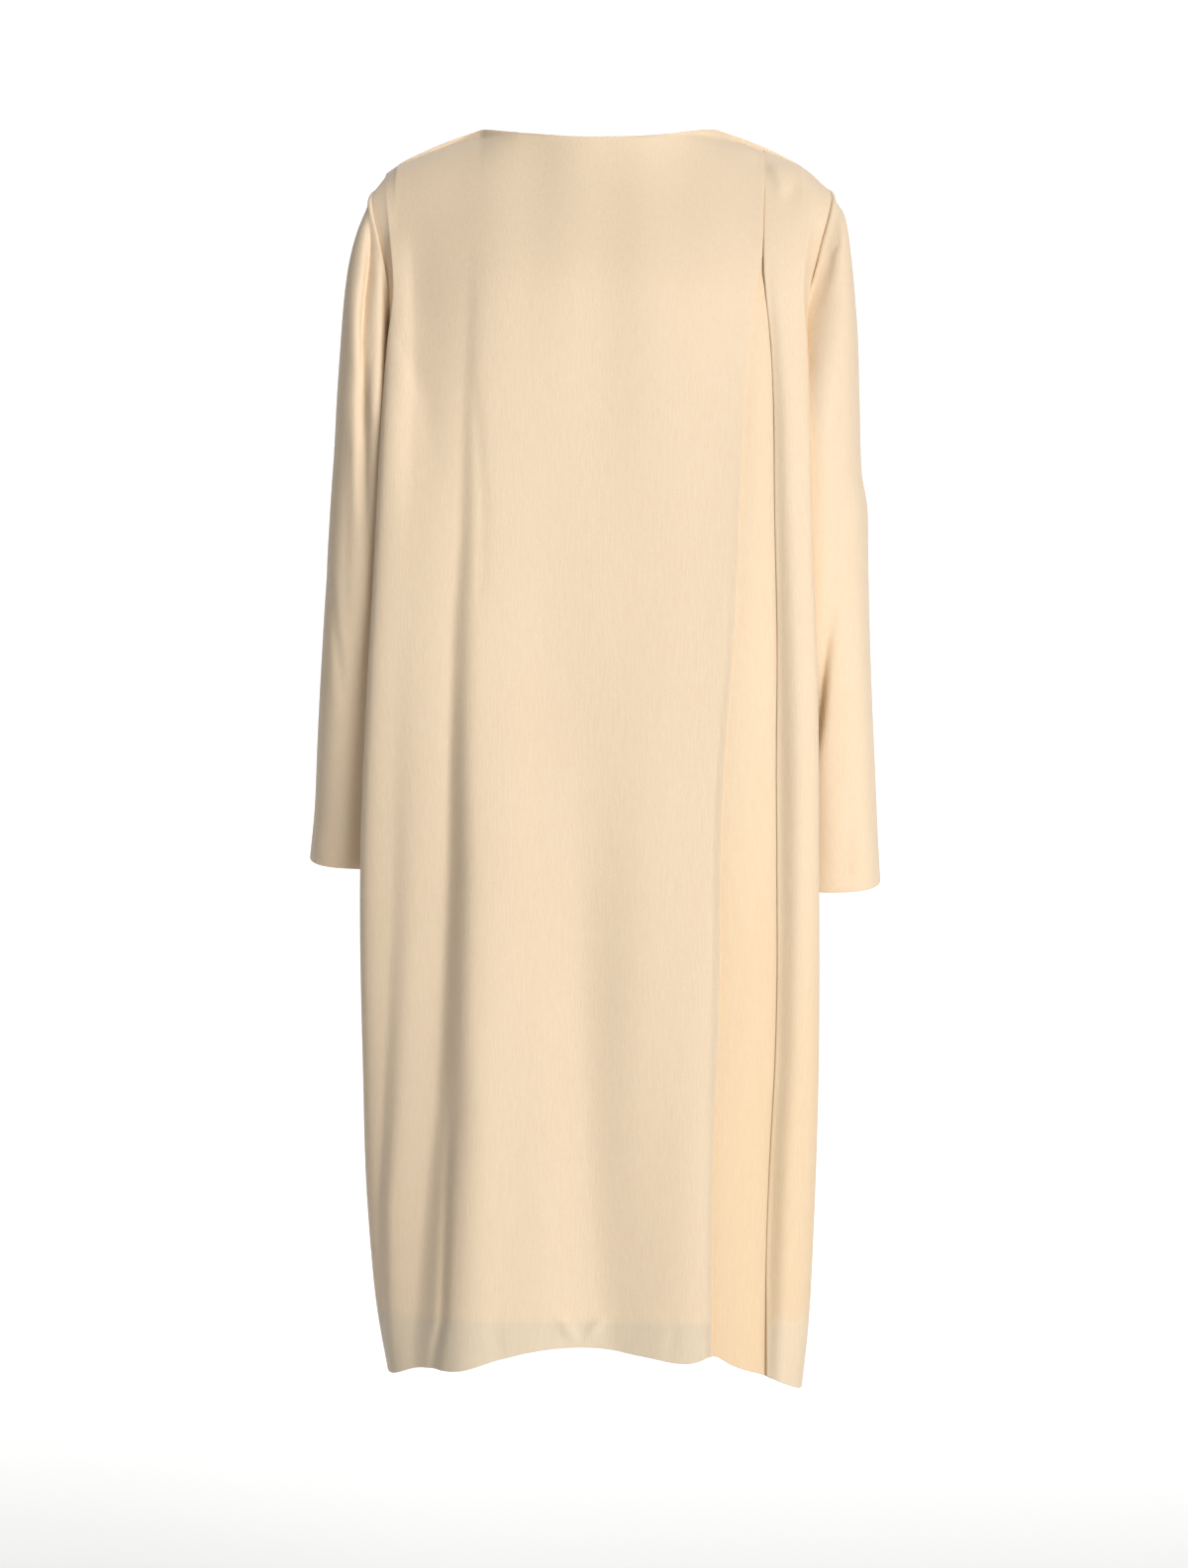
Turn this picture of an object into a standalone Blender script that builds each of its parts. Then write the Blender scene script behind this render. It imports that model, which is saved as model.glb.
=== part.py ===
"""Tunic dress with long set-in sleeves, hollow, in the form it has when it is worn.

Each piece is a wall of cloth: a grid of points on the cloth's middle surface, thickened
by a Solidify modifier. +Z is up, the back of the dress faces -Y and its left side lies
at -X. The origin is midway between the points where the shoulder seams meet the neckline.
"""

import math

import bmesh
import bpy
import numpy as np

# Cloth and seams, in metres
WALL = 0.0012
SEAM_GAP = 0.0003

# Neckline: half its width, and how far it drops and stands out at the centre
NECK_HALF = 0.104
NECK_ROUND = 2.2
BACK_NECK_DROP = 0.016
BACK_NECK_OUT = -0.055
FRONT_NECK_DROP = 0.120
FRONT_NECK_OUT = 0.076
NECK_EDGE = 0.001

# Shoulder seam: its slope from the neck point and how fast that steepens
SHOULDER_SLOPE = 0.36
SHOULDER_CURVE = 1.30
SHOULDER_TIP_OUT = 0.005

# Armhole ring: middle height, half its height, and its reach to the back and the front
ARM_MIDDLE = -0.1475
ARM_HALF_HEIGHT = 0.100
ARM_BACK = 0.068
ARM_FRONT = 0.056
ARM_ROUND = 2.5
UNDERARM = ARM_MIDDLE - ARM_HALF_HEIGHT
BLADES = -0.165

# Distance from the centre line to the armhole, by angle from the shoulder over the back
ARMHOLE_COLUMNS = ("angle", "out")
ARMHOLE_ROWS = (
    (0, 0.2000),
    (36, 0.2050),
    (54, 0.2010),
    (72, 0.1940),
    (90, 0.1870),
    (126, 0.1820),
    (144, 0.1790),
    (162, 0.1720),
    (180, 0.1660),
    (216, 0.1640),
    (270, 0.1720),
    (306, 0.1850),
    (342, 0.1970),
    (360, 0.2000),
)

# Back of the body by height: widest points, their depth, centre back, and roundness
BACK_COLUMNS = ("height", "left", "right", "edge", "centre", "round_x", "round_y")
BACK_ROWS = (
    (-1.110, 0.1840, 0.1750, -0.036, -0.137, 2.7, 2.7),
    (-1.050, 0.1955, 0.1815, -0.038, -0.138, 2.7, 2.7),
    (-0.955, 0.2045, 0.1865, -0.042, -0.138, 2.7, 2.7),
    (-0.830, 0.2078, 0.1900, -0.048, -0.137, 2.7, 2.7),
    (-0.660, 0.2090, 0.1902, -0.056, -0.134, 2.6, 2.6),
    (-0.510, 0.2021, 0.1892, -0.066, -0.129, 2.6, 2.6),
    (-0.385, 0.1944, 0.1850, -0.075, -0.124, 2.6, 2.5),
    (-0.280, 0.1890, 0.1828, -0.081, -0.119, 2.6, 2.2),
    (-0.200, 0.1835, 0.1805, -0.081, -0.115, 2.5, 1.5),
    (-0.150, 0.1785, 0.1775, -0.078, -0.110, 2.4, 1.1),
    (-0.100, 0.1830, 0.1830, -0.070, -0.100, 2.3, 1.0),
    (-0.050, 0.1880, 0.1880, -0.062, -0.090, 2.2, 1.0),
    (0.000, 0.1880, 0.1880, -0.060, -0.088, 2.2, 1.0),
)

# Side seams and front of the body by height
FRONT_COLUMNS = ("height", "left", "right", "seam", "centre", "round_x", "round_y")
FRONT_ROWS = (
    (-1.110, 0.1800, 0.1720, 0.000, 0.136, 2.5, 2.5),
    (-1.050, 0.1900, 0.1770, 0.000, 0.136, 2.5, 2.5),
    (-0.900, 0.1960, 0.1800, 0.000, 0.135, 2.4, 2.4),
    (-0.760, 0.1900, 0.1740, 0.000, 0.133, 2.3, 2.3),
    (-0.680, 0.1740, 0.1650, 0.000, 0.132, 2.1, 2.1),
    (-0.600, 0.1690, 0.1620, 0.000, 0.131, 2.1, 2.1),
    (-0.450, 0.1675, 0.1620, 0.000, 0.130, 2.2, 2.2),
    (-0.330, 0.1665, 0.1640, 0.000, 0.126, 2.3, 2.2),
    (-0.248, 0.1660, 0.1660, 0.000, 0.118, 2.3, 2.0),
    (-0.180, 0.1700, 0.1700, 0.030, 0.106, 2.3, 1.3),
    (-0.130, 0.1750, 0.1750, 0.040, 0.094, 2.2, 1.0),
    (-0.050, 0.1980, 0.1980, 0.030, 0.080, 2.2, 1.0),
    (0.000, 0.2000, 0.2000, 0.030, 0.078, 2.2, 1.0),
)

# Inverted pleat of the back: its two outer folds by height
PLEAT_COLUMNS = ("height", "left_fold", "right_fold")
PLEAT_ROWS = (
    (-1.110, 0.0964, 0.1435),
    (-0.990, 0.0966, 0.1433),
    (-0.890, 0.0981, 0.1470),
    (-0.820, 0.1015, 0.1508),
    (-0.750, 0.1033, 0.1526),
    (-0.670, 0.1035, 0.1526),
    (-0.570, 0.1070, 0.1522),
    (-0.457, 0.1160, 0.1530),
    (-0.345, 0.1215, 0.1510),
    (-0.249, 0.1257, 0.1503),
    (-0.193, 0.1310, 0.1478),
    (-0.160, 0.1350, 0.1452),
    (-0.136, 0.1410, 0.1436),
    (-0.110, 0.1428, 0.1446),
    (-0.040, 0.1455, 0.1473),
    (0.000, 0.1460, 0.1478),
)
PLEAT_UNDERLAY_HALF = 0.030
PLEAT_ROLL = 0.0022
UNDERLAY_COLUMNS = (-0.6, -0.2, 0.2, 0.6)

# Hems by distance from the centre line
HEM_COLUMNS = ("across", "back", "front")
HEM_ROWS = (
    (-0.210, -1.100, -1.098),
    (-0.185, -1.097, -1.096),
    (-0.155, -1.087, -1.090),
    (-0.117, -1.084, -1.086),
    (-0.085, -1.074, -1.084),
    (-0.048, -1.0655, -1.082),
    (0.000, -1.064, -1.082),
    (0.037, -1.070, -1.082),
    (0.080, -1.0745, -1.084),
    (0.098, -1.0690, -1.086),
    (0.115, -1.0780, -1.088),
    (0.145, -1.0885, -1.092),
    (0.180, -1.1040, -1.102),
)
LOWEST = HEM_ROWS[0][1]

# Soft vertical troughs: path, half width and depth at the top and at the hem.
# Each fades in over the first part of its length.
TROUGH_COLUMNS = (
    "panel", "top", "x_top", "x_middle", "x_hem", "width_top", "width_hem", "depth_top", "depth_hem",
)
TROUGH_ROWS = (
    ("back", -0.100, -0.1110, -0.1235, -0.1345, 0.016, 0.011, 0.0020, 0.0130),
    ("back", -0.560, 0.0150, 0.0300, 0.0400, 0.034, 0.034, 0.0000, 0.0060),
    ("back", -0.820, -0.1840, -0.1850, -0.1820, 0.009, 0.007, 0.0000, 0.0060),
    ("back", -0.300, -0.0600, -0.0680, -0.0750, 0.030, 0.026, 0.0000, 0.0030),
    ("front", -0.240, -0.0900, -0.1000, -0.1100, 0.018, 0.020, 0.0020, 0.0120),
    ("front", -0.300, 0.0850, 0.0960, 0.1040, 0.018, 0.022, 0.0020, 0.0100),
    ("front", -0.520, -0.0100, -0.0200, -0.0250, 0.030, 0.030, 0.0000, 0.0070),
    ("front", -0.640, 0.0400, 0.0450, 0.0480, 0.022, 0.020, 0.0000, 0.0050),
)
TROUGH_FADE = 1 / 8

# Sleeves: outer and inner line of each ring, its middle depth and half depth
SLEEVE_COLUMNS = ("outer", "outer_z", "inner", "inner_z", "depth", "half_depth")
LEFT_SLEEVE_ROWS = (
    (0.2000, -0.0475, 0.1660, -0.2475, -0.006, 0.062),
    (0.2090, -0.0640, 0.1700, -0.2530, -0.004, 0.064),
    (0.2160, -0.0880, 0.1722, -0.2610, -0.001, 0.066),
    (0.2205, -0.1160, 0.1742, -0.2720, 0.002, 0.067),
    (0.2245, -0.1480, 0.1760, -0.2860, 0.004, 0.068),
    (0.2285, -0.1850, 0.1775, -0.3030, 0.006, 0.069),
    (0.2310, -0.2300, 0.1790, -0.3260, 0.008, 0.070),
    (0.2335, -0.2850, 0.1795, -0.3560, 0.009, 0.070),
    (0.2370, -0.3400, 0.1800, -0.3900, 0.010, 0.069),
    (0.2408, -0.3950, 0.1805, -0.4280, 0.012, 0.067),
    (0.2445, -0.4450, 0.1808, -0.4650, 0.017, 0.064),
    (0.2480, -0.4950, 0.1810, -0.5080, 0.025, 0.061),
    (0.2515, -0.5500, 0.1812, -0.5570, 0.036, 0.058),
    (0.2545, -0.6000, 0.1815, -0.6030, 0.046, 0.055),
    (0.2595, -0.6485, 0.1820, -0.6490, 0.056, 0.052),
)
RIGHT_SLEEVE_ROWS = (
    (0.2000, -0.0475, 0.1660, -0.2475, -0.006, 0.062),
    (0.2080, -0.0600, 0.1700, -0.2530, -0.004, 0.064),
    (0.2165, -0.0760, 0.1722, -0.2610, -0.001, 0.066),
    (0.2215, -0.1080, 0.1738, -0.2720, 0.002, 0.067),
    (0.2250, -0.1450, 0.1748, -0.2860, 0.004, 0.068),
    (0.2278, -0.1880, 0.1756, -0.3030, 0.006, 0.069),
    (0.2290, -0.2350, 0.1762, -0.3260, 0.008, 0.070),
    (0.2315, -0.3030, 0.1765, -0.3560, 0.009, 0.070),
    (0.2372, -0.3380, 0.1768, -0.3900, 0.010, 0.069),
    (0.2385, -0.3950, 0.1768, -0.4280, 0.012, 0.067),
    (0.2400, -0.4500, 0.1768, -0.4650, 0.017, 0.064),
    (0.2426, -0.5100, 0.1768, -0.5180, 0.026, 0.061),
    (0.2460, -0.5650, 0.1768, -0.5700, 0.037, 0.058),
    (0.2495, -0.6200, 0.1770, -0.6230, 0.047, 0.055),
    (0.2530, -0.6700, 0.1775, -0.6705, 0.057, 0.052),
)
SLEEVE_ROUND = 2.3
CUFF_TILT = 0.010
CUFF_TILT_RINGS = 4

# Sleeve head: the rings that follow the armhole, how fast they leave it, and how much of
# the wall lies across the seam at the back and the front of the armhole
ARMHOLE_RINGS = 5
ARMHOLE_FADE = 1.5
WALL_ACROSS_BACK = 0.30
WALL_ACROSS_FRONT = 0.60

# Height above the underarm over which the body's side turns into the armhole's edge
ARMPIT = 0.09

# Mesh density
ARM_STEPS = 10
SEAM_ANGLE = 5.0
BODY_ROWS = 15
FACE_LEFT = 11
FACE_NECK = 13
FACE_TO_PLEAT = 4
FACE_RIGHT = 4
SIDE_STEPS = 4
FOLD_STEPS = 3
FRONT_STEPS = 26
CROWD_TO_EDGE = 0.8
NECK_TO_PLEAT = 0.90
TOP_EDGE_PASSES = 12

CREPE = (0.90, 0.72, 0.50, 1.0)
CREPE_ROUGHNESS = 0.75


class Table:
    """Rows of sizes, read by column name on a smooth curve through the rows."""

    def __init__(self, columns, rows):
        self.columns = columns
        self.rows = np.array(rows)
        self.keys = self.rows[:, 0]

    def at(self, name, key):
        """Value of a column at a key, held constant beyond the first and last row."""
        values = self.rows[:, self.columns.index(name)]
        key = min(max(key, self.keys[0]), self.keys[-1])
        last = len(self.keys) - 2
        i = min(max(int(np.searchsorted(self.keys, key, side="right")) - 1, 0), last)
        slopes = np.gradient(values, self.keys)
        step = self.keys[i + 1] - self.keys[i]
        s = (key - self.keys[i]) / step
        rise = s * s * (3 - 2 * s)
        start = s * (1 - s) ** 2 * step * slopes[i]
        end = -s * s * (1 - s) * step * slopes[i + 1]
        return values[i] * (1 - rise) + values[i + 1] * rise + start + end


ARMHOLE = Table(ARMHOLE_COLUMNS, ARMHOLE_ROWS)
BACK = Table(BACK_COLUMNS, BACK_ROWS)
FRONT = Table(FRONT_COLUMNS, FRONT_ROWS)
PLEAT = Table(PLEAT_COLUMNS, PLEAT_ROWS)
HEM = Table(HEM_COLUMNS, HEM_ROWS)


def ease(value):
    """Smooth step from 0 to 1."""
    value = min(max(value, 0.0), 1.0)
    return value * value * (3 - 2 * value)


def signed_power(value, power):
    """Power of a value that keeps its sign."""
    return math.copysign(abs(value) ** power, value)


def armhole_point(angle, side):
    """Point of the armhole ring, by degrees from the shoulder over the back, on one side."""
    turn = math.radians(angle)
    reach = ARM_BACK if angle <= 180 else ARM_FRONT
    x = side * ARMHOLE.at("out", angle)
    y = -reach * signed_power(math.sin(turn), 2 / ARM_ROUND)
    y += SHOULDER_TIP_OUT * (1 + math.cos(turn)) / 2
    z = ARM_MIDDLE + ARM_HALF_HEIGHT * signed_power(math.cos(turn), 2 / ARM_ROUND)
    return np.array((x, y, z))


def arm_angles():
    """Angles of the armhole's points from the underarm up to the shoulder, over the back."""
    even = [180 - 180 * i / ARM_STEPS for i in range(ARM_STEPS)]
    return even + [SEAM_ANGLE, 0.0]


def ring_angles():
    """Angles of a sleeve ring's points, from the shoulder over the back and round."""
    up = arm_angles()
    return up[::-1] + [360 - angle for angle in up[1:-1]]


def row_levels():
    """Rows of a panel: part of the way from hem to underarm, then from underarm to top."""
    lower = [(i / BODY_ROWS, None) for i in range(BODY_ROWS)]
    upper = [(1.0, angle) for angle in arm_angles()]
    return lower + upper


def arm_fraction(angle):
    """How far up from the underarm to the shoulder an armhole angle lies."""
    return (1 + signed_power(math.cos(math.radians(angle)), 2 / ARM_ROUND)) / 2


def neck_share(x):
    """How far inside the neckline a distance from the centre line is: 1 at the centre."""
    return max(0.0, 1 - (abs(x) / NECK_HALF) ** NECK_ROUND)


def top_edge(x, drop, out):
    """Depth and height of a panel's top edge: shoulder seam, or neckline between them."""
    past = max(0.0, abs(x) - NECK_HALF)
    share = neck_share(x)
    y = out * share ** (1 / NECK_ROUND) + SHOULDER_TIP_OUT * past / NECK_HALF
    z = -SHOULDER_SLOPE * past - SHOULDER_CURVE * past ** 2 - drop * share
    return y, z


def trough_depth(panel, x, z):
    """How far the soft vertical troughs press a panel in at a point."""
    total = 0.0
    for row in TROUGH_ROWS:
        trough = dict(zip(TROUGH_COLUMNS, row))
        if trough["panel"] != panel:
            continue
        down = min(max((trough["top"] - z) / (trough["top"] - LOWEST), 0.0), 1.0)
        if down <= 0.0:
            continue
        curve = (1 - down) ** 2 * trough["x_top"] + down ** 2 * trough["x_hem"]
        path = curve + 2 * down * (1 - down) * trough["x_middle"]
        width = trough["width_top"] + (trough["width_hem"] - trough["width_top"]) * down
        depth = trough["depth_top"] + (trough["depth_hem"] - trough["depth_top"]) * down
        total += depth * ease(down / TROUGH_FADE) * math.exp(-((x - path) / width) ** 2)
    return total


def panel_depth(table, edge, x, z, drop, out):
    """Depth of a panel's middle surface over a point of its upright outline."""
    half = table.at("left" if x < 0 else "right", z)
    across = min(abs(x) / half, 1.0)
    edge_y = table.at(edge, z)
    crown = (1 - across ** table.at("round_x", z)) ** (1 / table.at("round_y", z))
    hang = edge_y + (table.at("centre", z) - edge_y) * crown
    top_y, top_z = top_edge(x, drop, out)
    down = min(max((top_z - z) / (top_z - BLADES), 0.0), 1.0)
    power = 0.5 + 0.5 * min(1.0, 3 * neck_share(x))
    return top_y + (hang - top_y) * (1 - (1 - down) ** 2) ** power


def back_depth(x, z):
    """Depth of the back panel's outer layer, with its troughs."""
    plain = panel_depth(BACK, "edge", x, z, BACK_NECK_DROP, BACK_NECK_OUT)
    return plain + trough_depth("back", x, z)


def front_depth(x, z):
    """Depth of the front panel, with its troughs."""
    plain = panel_depth(FRONT, "seam", x, z, FRONT_NECK_DROP, FRONT_NECK_OUT)
    return plain - trough_depth("front", x, z)


def level_height(level, top_x, top_z, hem_z):
    """Height of a row's point, from the row's share and the column's own top and hem."""
    share, angle = level
    if angle is None:
        return hem_z + (UNDERARM - hem_z) * share
    z = UNDERARM + (top_z - UNDERARM) * arm_fraction(angle)
    beside_top = angle in (SEAM_ANGLE, 360 - SEAM_ANGLE)
    return z - NECK_EDGE * neck_share(top_x) if beside_top else z


def inward(x, z):
    """Unit vector from the back panel's outer layer towards the inside of the dress."""
    step = 0.001
    slope_x = (back_depth(x + step, z) - back_depth(x - step, z)) / (2 * step)
    slope_z = (back_depth(x, z) - back_depth(x, z - step)) / step
    normal = np.array((-slope_x, 1.0, -slope_z))
    return normal / np.linalg.norm(normal)


def face_station(fraction):
    """Column of the back panel at a fraction of its half width, seen from behind."""
    def place(z):
        half = BACK.at("left" if fraction < 0 else "right", z)
        return fraction * half, 0.0
    return place


def pleat_station(fold, turn):
    """Column of the pleat at a turn, in degrees, round the roll of one of its folds."""
    def place(z):
        left = PLEAT.at("left_fold", z)
        right = PLEAT.at("right_fold", z)
        middle = (left + right) / 2
        roll = PLEAT_ROLL
        angle = math.radians(turn)
        if fold == "left":
            return left - roll + roll * math.cos(angle), roll * (1 + math.sin(angle))
        if fold == "under_left":
            inner = middle - PLEAT_UNDERLAY_HALF + roll
            return inner - roll * math.cos(angle), roll * (3 + math.sin(angle))
        if fold == "under_right":
            inner = middle + PLEAT_UNDERLAY_HALF - roll
            return inner + roll * math.cos(angle), roll * (3 - math.sin(angle))
        return right + roll - roll * math.cos(angle), roll * (1 - math.sin(angle))
    return place


def underlay_station(across):
    """Column of the pleat's underlay, at a share of its half width from its middle."""
    def place(z):
        middle = (PLEAT.at("left_fold", z) + PLEAT.at("right_fold", z)) / 2
        return middle + (PLEAT_UNDERLAY_HALF - PLEAT_ROLL) * across, 4 * PLEAT_ROLL
    return place


def between_station(fraction):
    """Column at a fraction of the way from the pleat's right fold to the widest point."""
    def place(z):
        start = PLEAT.at("right_fold", z) + PLEAT_ROLL
        return start + (BACK.at("right", z) - start) * fraction, 0.0
    return place


def towards_pleat_station(fraction):
    """Column at a fraction of the way from the neck point to the pleat's left fold."""
    def place(z):
        start = BACK.at("right", z) * NECK_HALF / BACK.at("right", 0.0) * NECK_TO_PLEAT
        end = PLEAT.at("left_fold", z) - PLEAT_ROLL
        return start + (end - start) * fraction, 0.0
    return place


def back_stations():
    """Columns of the back panel between its widest points, from left to right."""
    neck = NECK_HALF / BACK.at("left", 0.0)
    edge_turn = math.asin(neck ** (1 / CROWD_TO_EDGE))
    stations = []
    for i in range(FACE_LEFT):
        turn = math.pi / 2 + (edge_turn - math.pi / 2) * i / FACE_LEFT
        stations.append(face_station(-math.sin(turn) ** CROWD_TO_EDGE))
    for i in range(FACE_NECK):
        stations.append(face_station(neck * (-1 + (1 + NECK_TO_PLEAT) * i / FACE_NECK)))
    stations += [towards_pleat_station(i / FACE_TO_PLEAT) for i in range(FACE_TO_PLEAT)]
    turns = [-90 + 180 * i / FOLD_STEPS for i in range(FOLD_STEPS + 1)]
    stations += [pleat_station("left", turn) for turn in turns]
    stations += [pleat_station("under_left", turn) for turn in turns]
    stations += [underlay_station(across) for across in UNDERLAY_COLUMNS]
    stations += [pleat_station("under_right", -turn) for turn in reversed(turns)]
    stations += [pleat_station("right", -turn) for turn in reversed(turns)]
    stations += [between_station((i + 1) / FACE_RIGHT) for i in range(FACE_RIGHT)]
    return stations


def seam_point(level, side):
    """Point of the side seam below the underarm, or of the armhole's back above it."""
    share, angle = level
    if angle is not None:
        return armhole_point(angle, side)
    name = "left" if side < 0 else "right"
    hem_x = FRONT.at(name, LOWEST)
    hem_z = HEM.at("back", side * hem_x)
    z = hem_z + (UNDERARM - hem_z) * share
    return np.array((side * FRONT.at(name, z), FRONT.at("seam", z), z))


def back_point(place, level):
    """Point of one column of the back panel at one row."""
    top_x = place(0.0)[0]
    hem_x = place(LOWEST)[0]
    top_z = top_edge(top_x, BACK_NECK_DROP, BACK_NECK_OUT)[1]
    z = level_height(level, top_x, top_z, HEM.at("back", hem_x))
    x, depth = place(z)
    if level[1] == 0.0:
        y, z = top_edge(x, BACK_NECK_DROP, BACK_NECK_OUT)
        return np.array((x, y, z - depth))
    point = np.array((x, back_depth(x, z), z))
    if depth:
        point += inward(x, z) * depth
    return point


def side_stretch(widest, seam, level):
    """Points from the widest point of the back round the corner to the seam."""
    blend = 1.0 if level[1] is None else 1 - ease((seam[2] - UNDERARM) / ARMPIT)
    points = []
    for i in range(1, SIDE_STEPS + 1):
        s = i / SIDE_STEPS
        point = widest + (seam - widest) * s
        across = s + (ease(s) - s) * blend
        point[0] = widest[0] + (seam[0] - widest[0]) * across
        points.append(point)
    return points


def trim_seams(grid, toward):
    """Draw the grid's side and shoulder edges back by half the seam gap."""
    half_gap = np.array((0.0, toward * SEAM_GAP / 2, 0.0))
    for row in grid:
        row[0] = row[0] + half_gap
        row[-1] = row[-1] + half_gap
    grid[-1][1:-1] = [point + half_gap for point in grid[-1][1:-1]]
    return grid


def back_grid():
    """Points of the back panel, row by row from the hem, left to right."""
    stations = back_stations()
    grid = []
    for level in row_levels():
        middle = [back_point(place, level) for place in stations]
        left = side_stretch(middle[0], seam_point(level, -1), level)
        right = side_stretch(middle[-1], seam_point(level, 1), level)
        grid.append(left[::-1] + middle + right)
    return trim_seams(grid, -1)


def front_grid():
    """Points of the front panel, row by row from the hem, left to right."""
    grid = []
    neck = NECK_HALF / FRONT.at("left", 0.0)
    shoulder_steps = FRONT_STEPS // 4
    neck_steps = FRONT_STEPS - 2 * shoulder_steps
    fractions = [-1 + (1 - neck) * i / shoulder_steps for i in range(shoulder_steps)]
    fractions += [-neck + 2 * neck * i / neck_steps for i in range(neck_steps)]
    fractions += [neck + (1 - neck) * i / shoulder_steps for i in range(shoulder_steps + 1)]
    for level in row_levels():
        front_level = level if level[1] is None else (1.0, 360 - level[1])
        row = [seam_point(front_level, -1)]
        for fraction in fractions[1:-1]:
            row.append(front_point(fraction, front_level))
        row.append(seam_point(front_level, 1))
        grid.append(row)
    return trim_seams(grid, 1)


def front_point(fraction, level):
    """Point of one column of the front panel at one row."""
    name = "left" if fraction < 0 else "right"
    top_x = fraction * FRONT.at(name, 0.0)
    for _ in range(TOP_EDGE_PASSES):
        top_y, top_z = top_edge(top_x, FRONT_NECK_DROP, FRONT_NECK_OUT)
        top_x = fraction * FRONT.at(name, top_z)
    hem_x = fraction * FRONT.at(name, LOWEST)
    if level[1] == 360.0:
        return np.array((top_x, top_y, top_z))
    z = level_height(level, top_x, top_z, HEM.at("front", hem_x))
    x = fraction * FRONT.at(name, z)
    return np.array((x, front_depth(x, z), z))


def sleeve_ring(row, side, lift):
    """Points of one sleeve ring, from the shoulder over the back and the underarm."""
    ring = dict(zip(SLEEVE_COLUMNS, row))
    outer = np.array((side * ring["outer"], 0.0, ring["outer_z"]))
    inner = np.array((side * ring["inner"], 0.0, ring["inner_z"]))
    points = []
    for angle in ring_angles():
        turn = math.radians(angle)
        along = signed_power(math.cos(turn), 2 / SLEEVE_ROUND)
        around = signed_power(math.sin(turn), 2 / SLEEVE_ROUND)
        point = (outer + inner) / 2 + (outer - inner) / 2 * along
        point[1] = ring["depth"] - ring["half_depth"] * around
        point[2] -= lift * around
        points.append(point)
    return points


def sleeve_grid(rows, side):
    """Points of a sleeve, ring by ring from the armhole to the cuff."""
    plain = sleeve_ring(rows[0], side, 0.0)
    shifts = []
    for angle, point in zip(ring_angles(), plain):
        edge_on = WALL_ACROSS_BACK if angle <= 180 else WALL_ACROSS_FRONT
        beside = edge_on + (1 - edge_on) * max(0.0, -math.cos(math.radians(angle)))
        out = SEAM_GAP + WALL * beside
        shifts.append(armhole_point(angle, side) + np.array((side * out, 0.0, 0.0)) - point)
    grid = []
    for k, row in enumerate(rows):
        fade = max(0.0, 1 - k / ARMHOLE_RINGS) ** ARMHOLE_FADE
        from_cuff = len(rows) - 1 - k
        lift = CUFF_TILT * max(0.0, 1 - from_cuff / CUFF_TILT_RINGS)
        ring = sleeve_ring(row, side, lift)
        grid.append([point + shift * fade for point, shift in zip(ring, shifts)])
    return grid


def make_cloth(name, grid, closed, outward):
    """Make one piece of cloth from a grid of its middle surface and thicken it evenly."""
    mesh = bpy.data.meshes.new(name)
    cloth = bmesh.new()
    rows = [[cloth.verts.new(point) for point in row] for row in grid]
    width = len(rows[0])
    for lower, upper in zip(rows, rows[1:]):
        for i in range(width if closed else width - 1):
            j = (i + 1) % width
            corners = (lower[i], lower[j], upper[j], upper[i])
            cloth.faces.new(corners if outward else corners[::-1])
    cloth.to_mesh(mesh)
    cloth.free()
    mesh.shade_smooth()
    piece = bpy.data.objects.new(name, mesh)
    bpy.context.scene.collection.objects.link(piece)
    wall = piece.modifiers.new("wall", "SOLIDIFY")
    wall.thickness = WALL
    wall.offset = 0.0
    wall.use_quality_normals = True
    piece.data.materials.append(crepe(name))
    return piece


def crepe(name):
    """Pale peach crepe for one piece."""
    material = bpy.data.materials.new(name + "_crepe")
    material.use_nodes = True
    shader = material.node_tree.nodes["Principled BSDF"]
    shader.inputs["Base Color"].default_value = CREPE
    shader.inputs["Roughness"].default_value = CREPE_ROUGHNESS
    shader.inputs["Metallic"].default_value = 0.0
    return material


def main():
    """Clear the scene and make the four pieces of the dress."""
    for item in list(bpy.data.objects):
        bpy.data.objects.remove(item, do_unlink=True)
    make_cloth("back_panel", back_grid(), False, True)
    make_cloth("front_panel", front_grid(), False, False)
    make_cloth("left_sleeve", sleeve_grid(LEFT_SLEEVE_ROWS, -1), True, True)
    make_cloth("right_sleeve", sleeve_grid(RIGHT_SLEEVE_ROWS, 1), True, False)


main()
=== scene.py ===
"""Looks of the tunic dress: four cut pieces of pale peach crepe, sewn together and worn.

Lengths are metres in the frame of the CAD model unless a name or comment says millimetres:
+Z is up, the back of the dress faces -Y and its left side lies at -X. Each piece is one
sheet of cloth, a grid of points on its middle surface that a Solidify modifier thickens,
with its hem and seam allowances turned to the inside as a maker turns them.
"""

from __future__ import annotations

import logging
import math
from collections.abc import Callable
from dataclasses import dataclass
from enum import Enum

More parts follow.
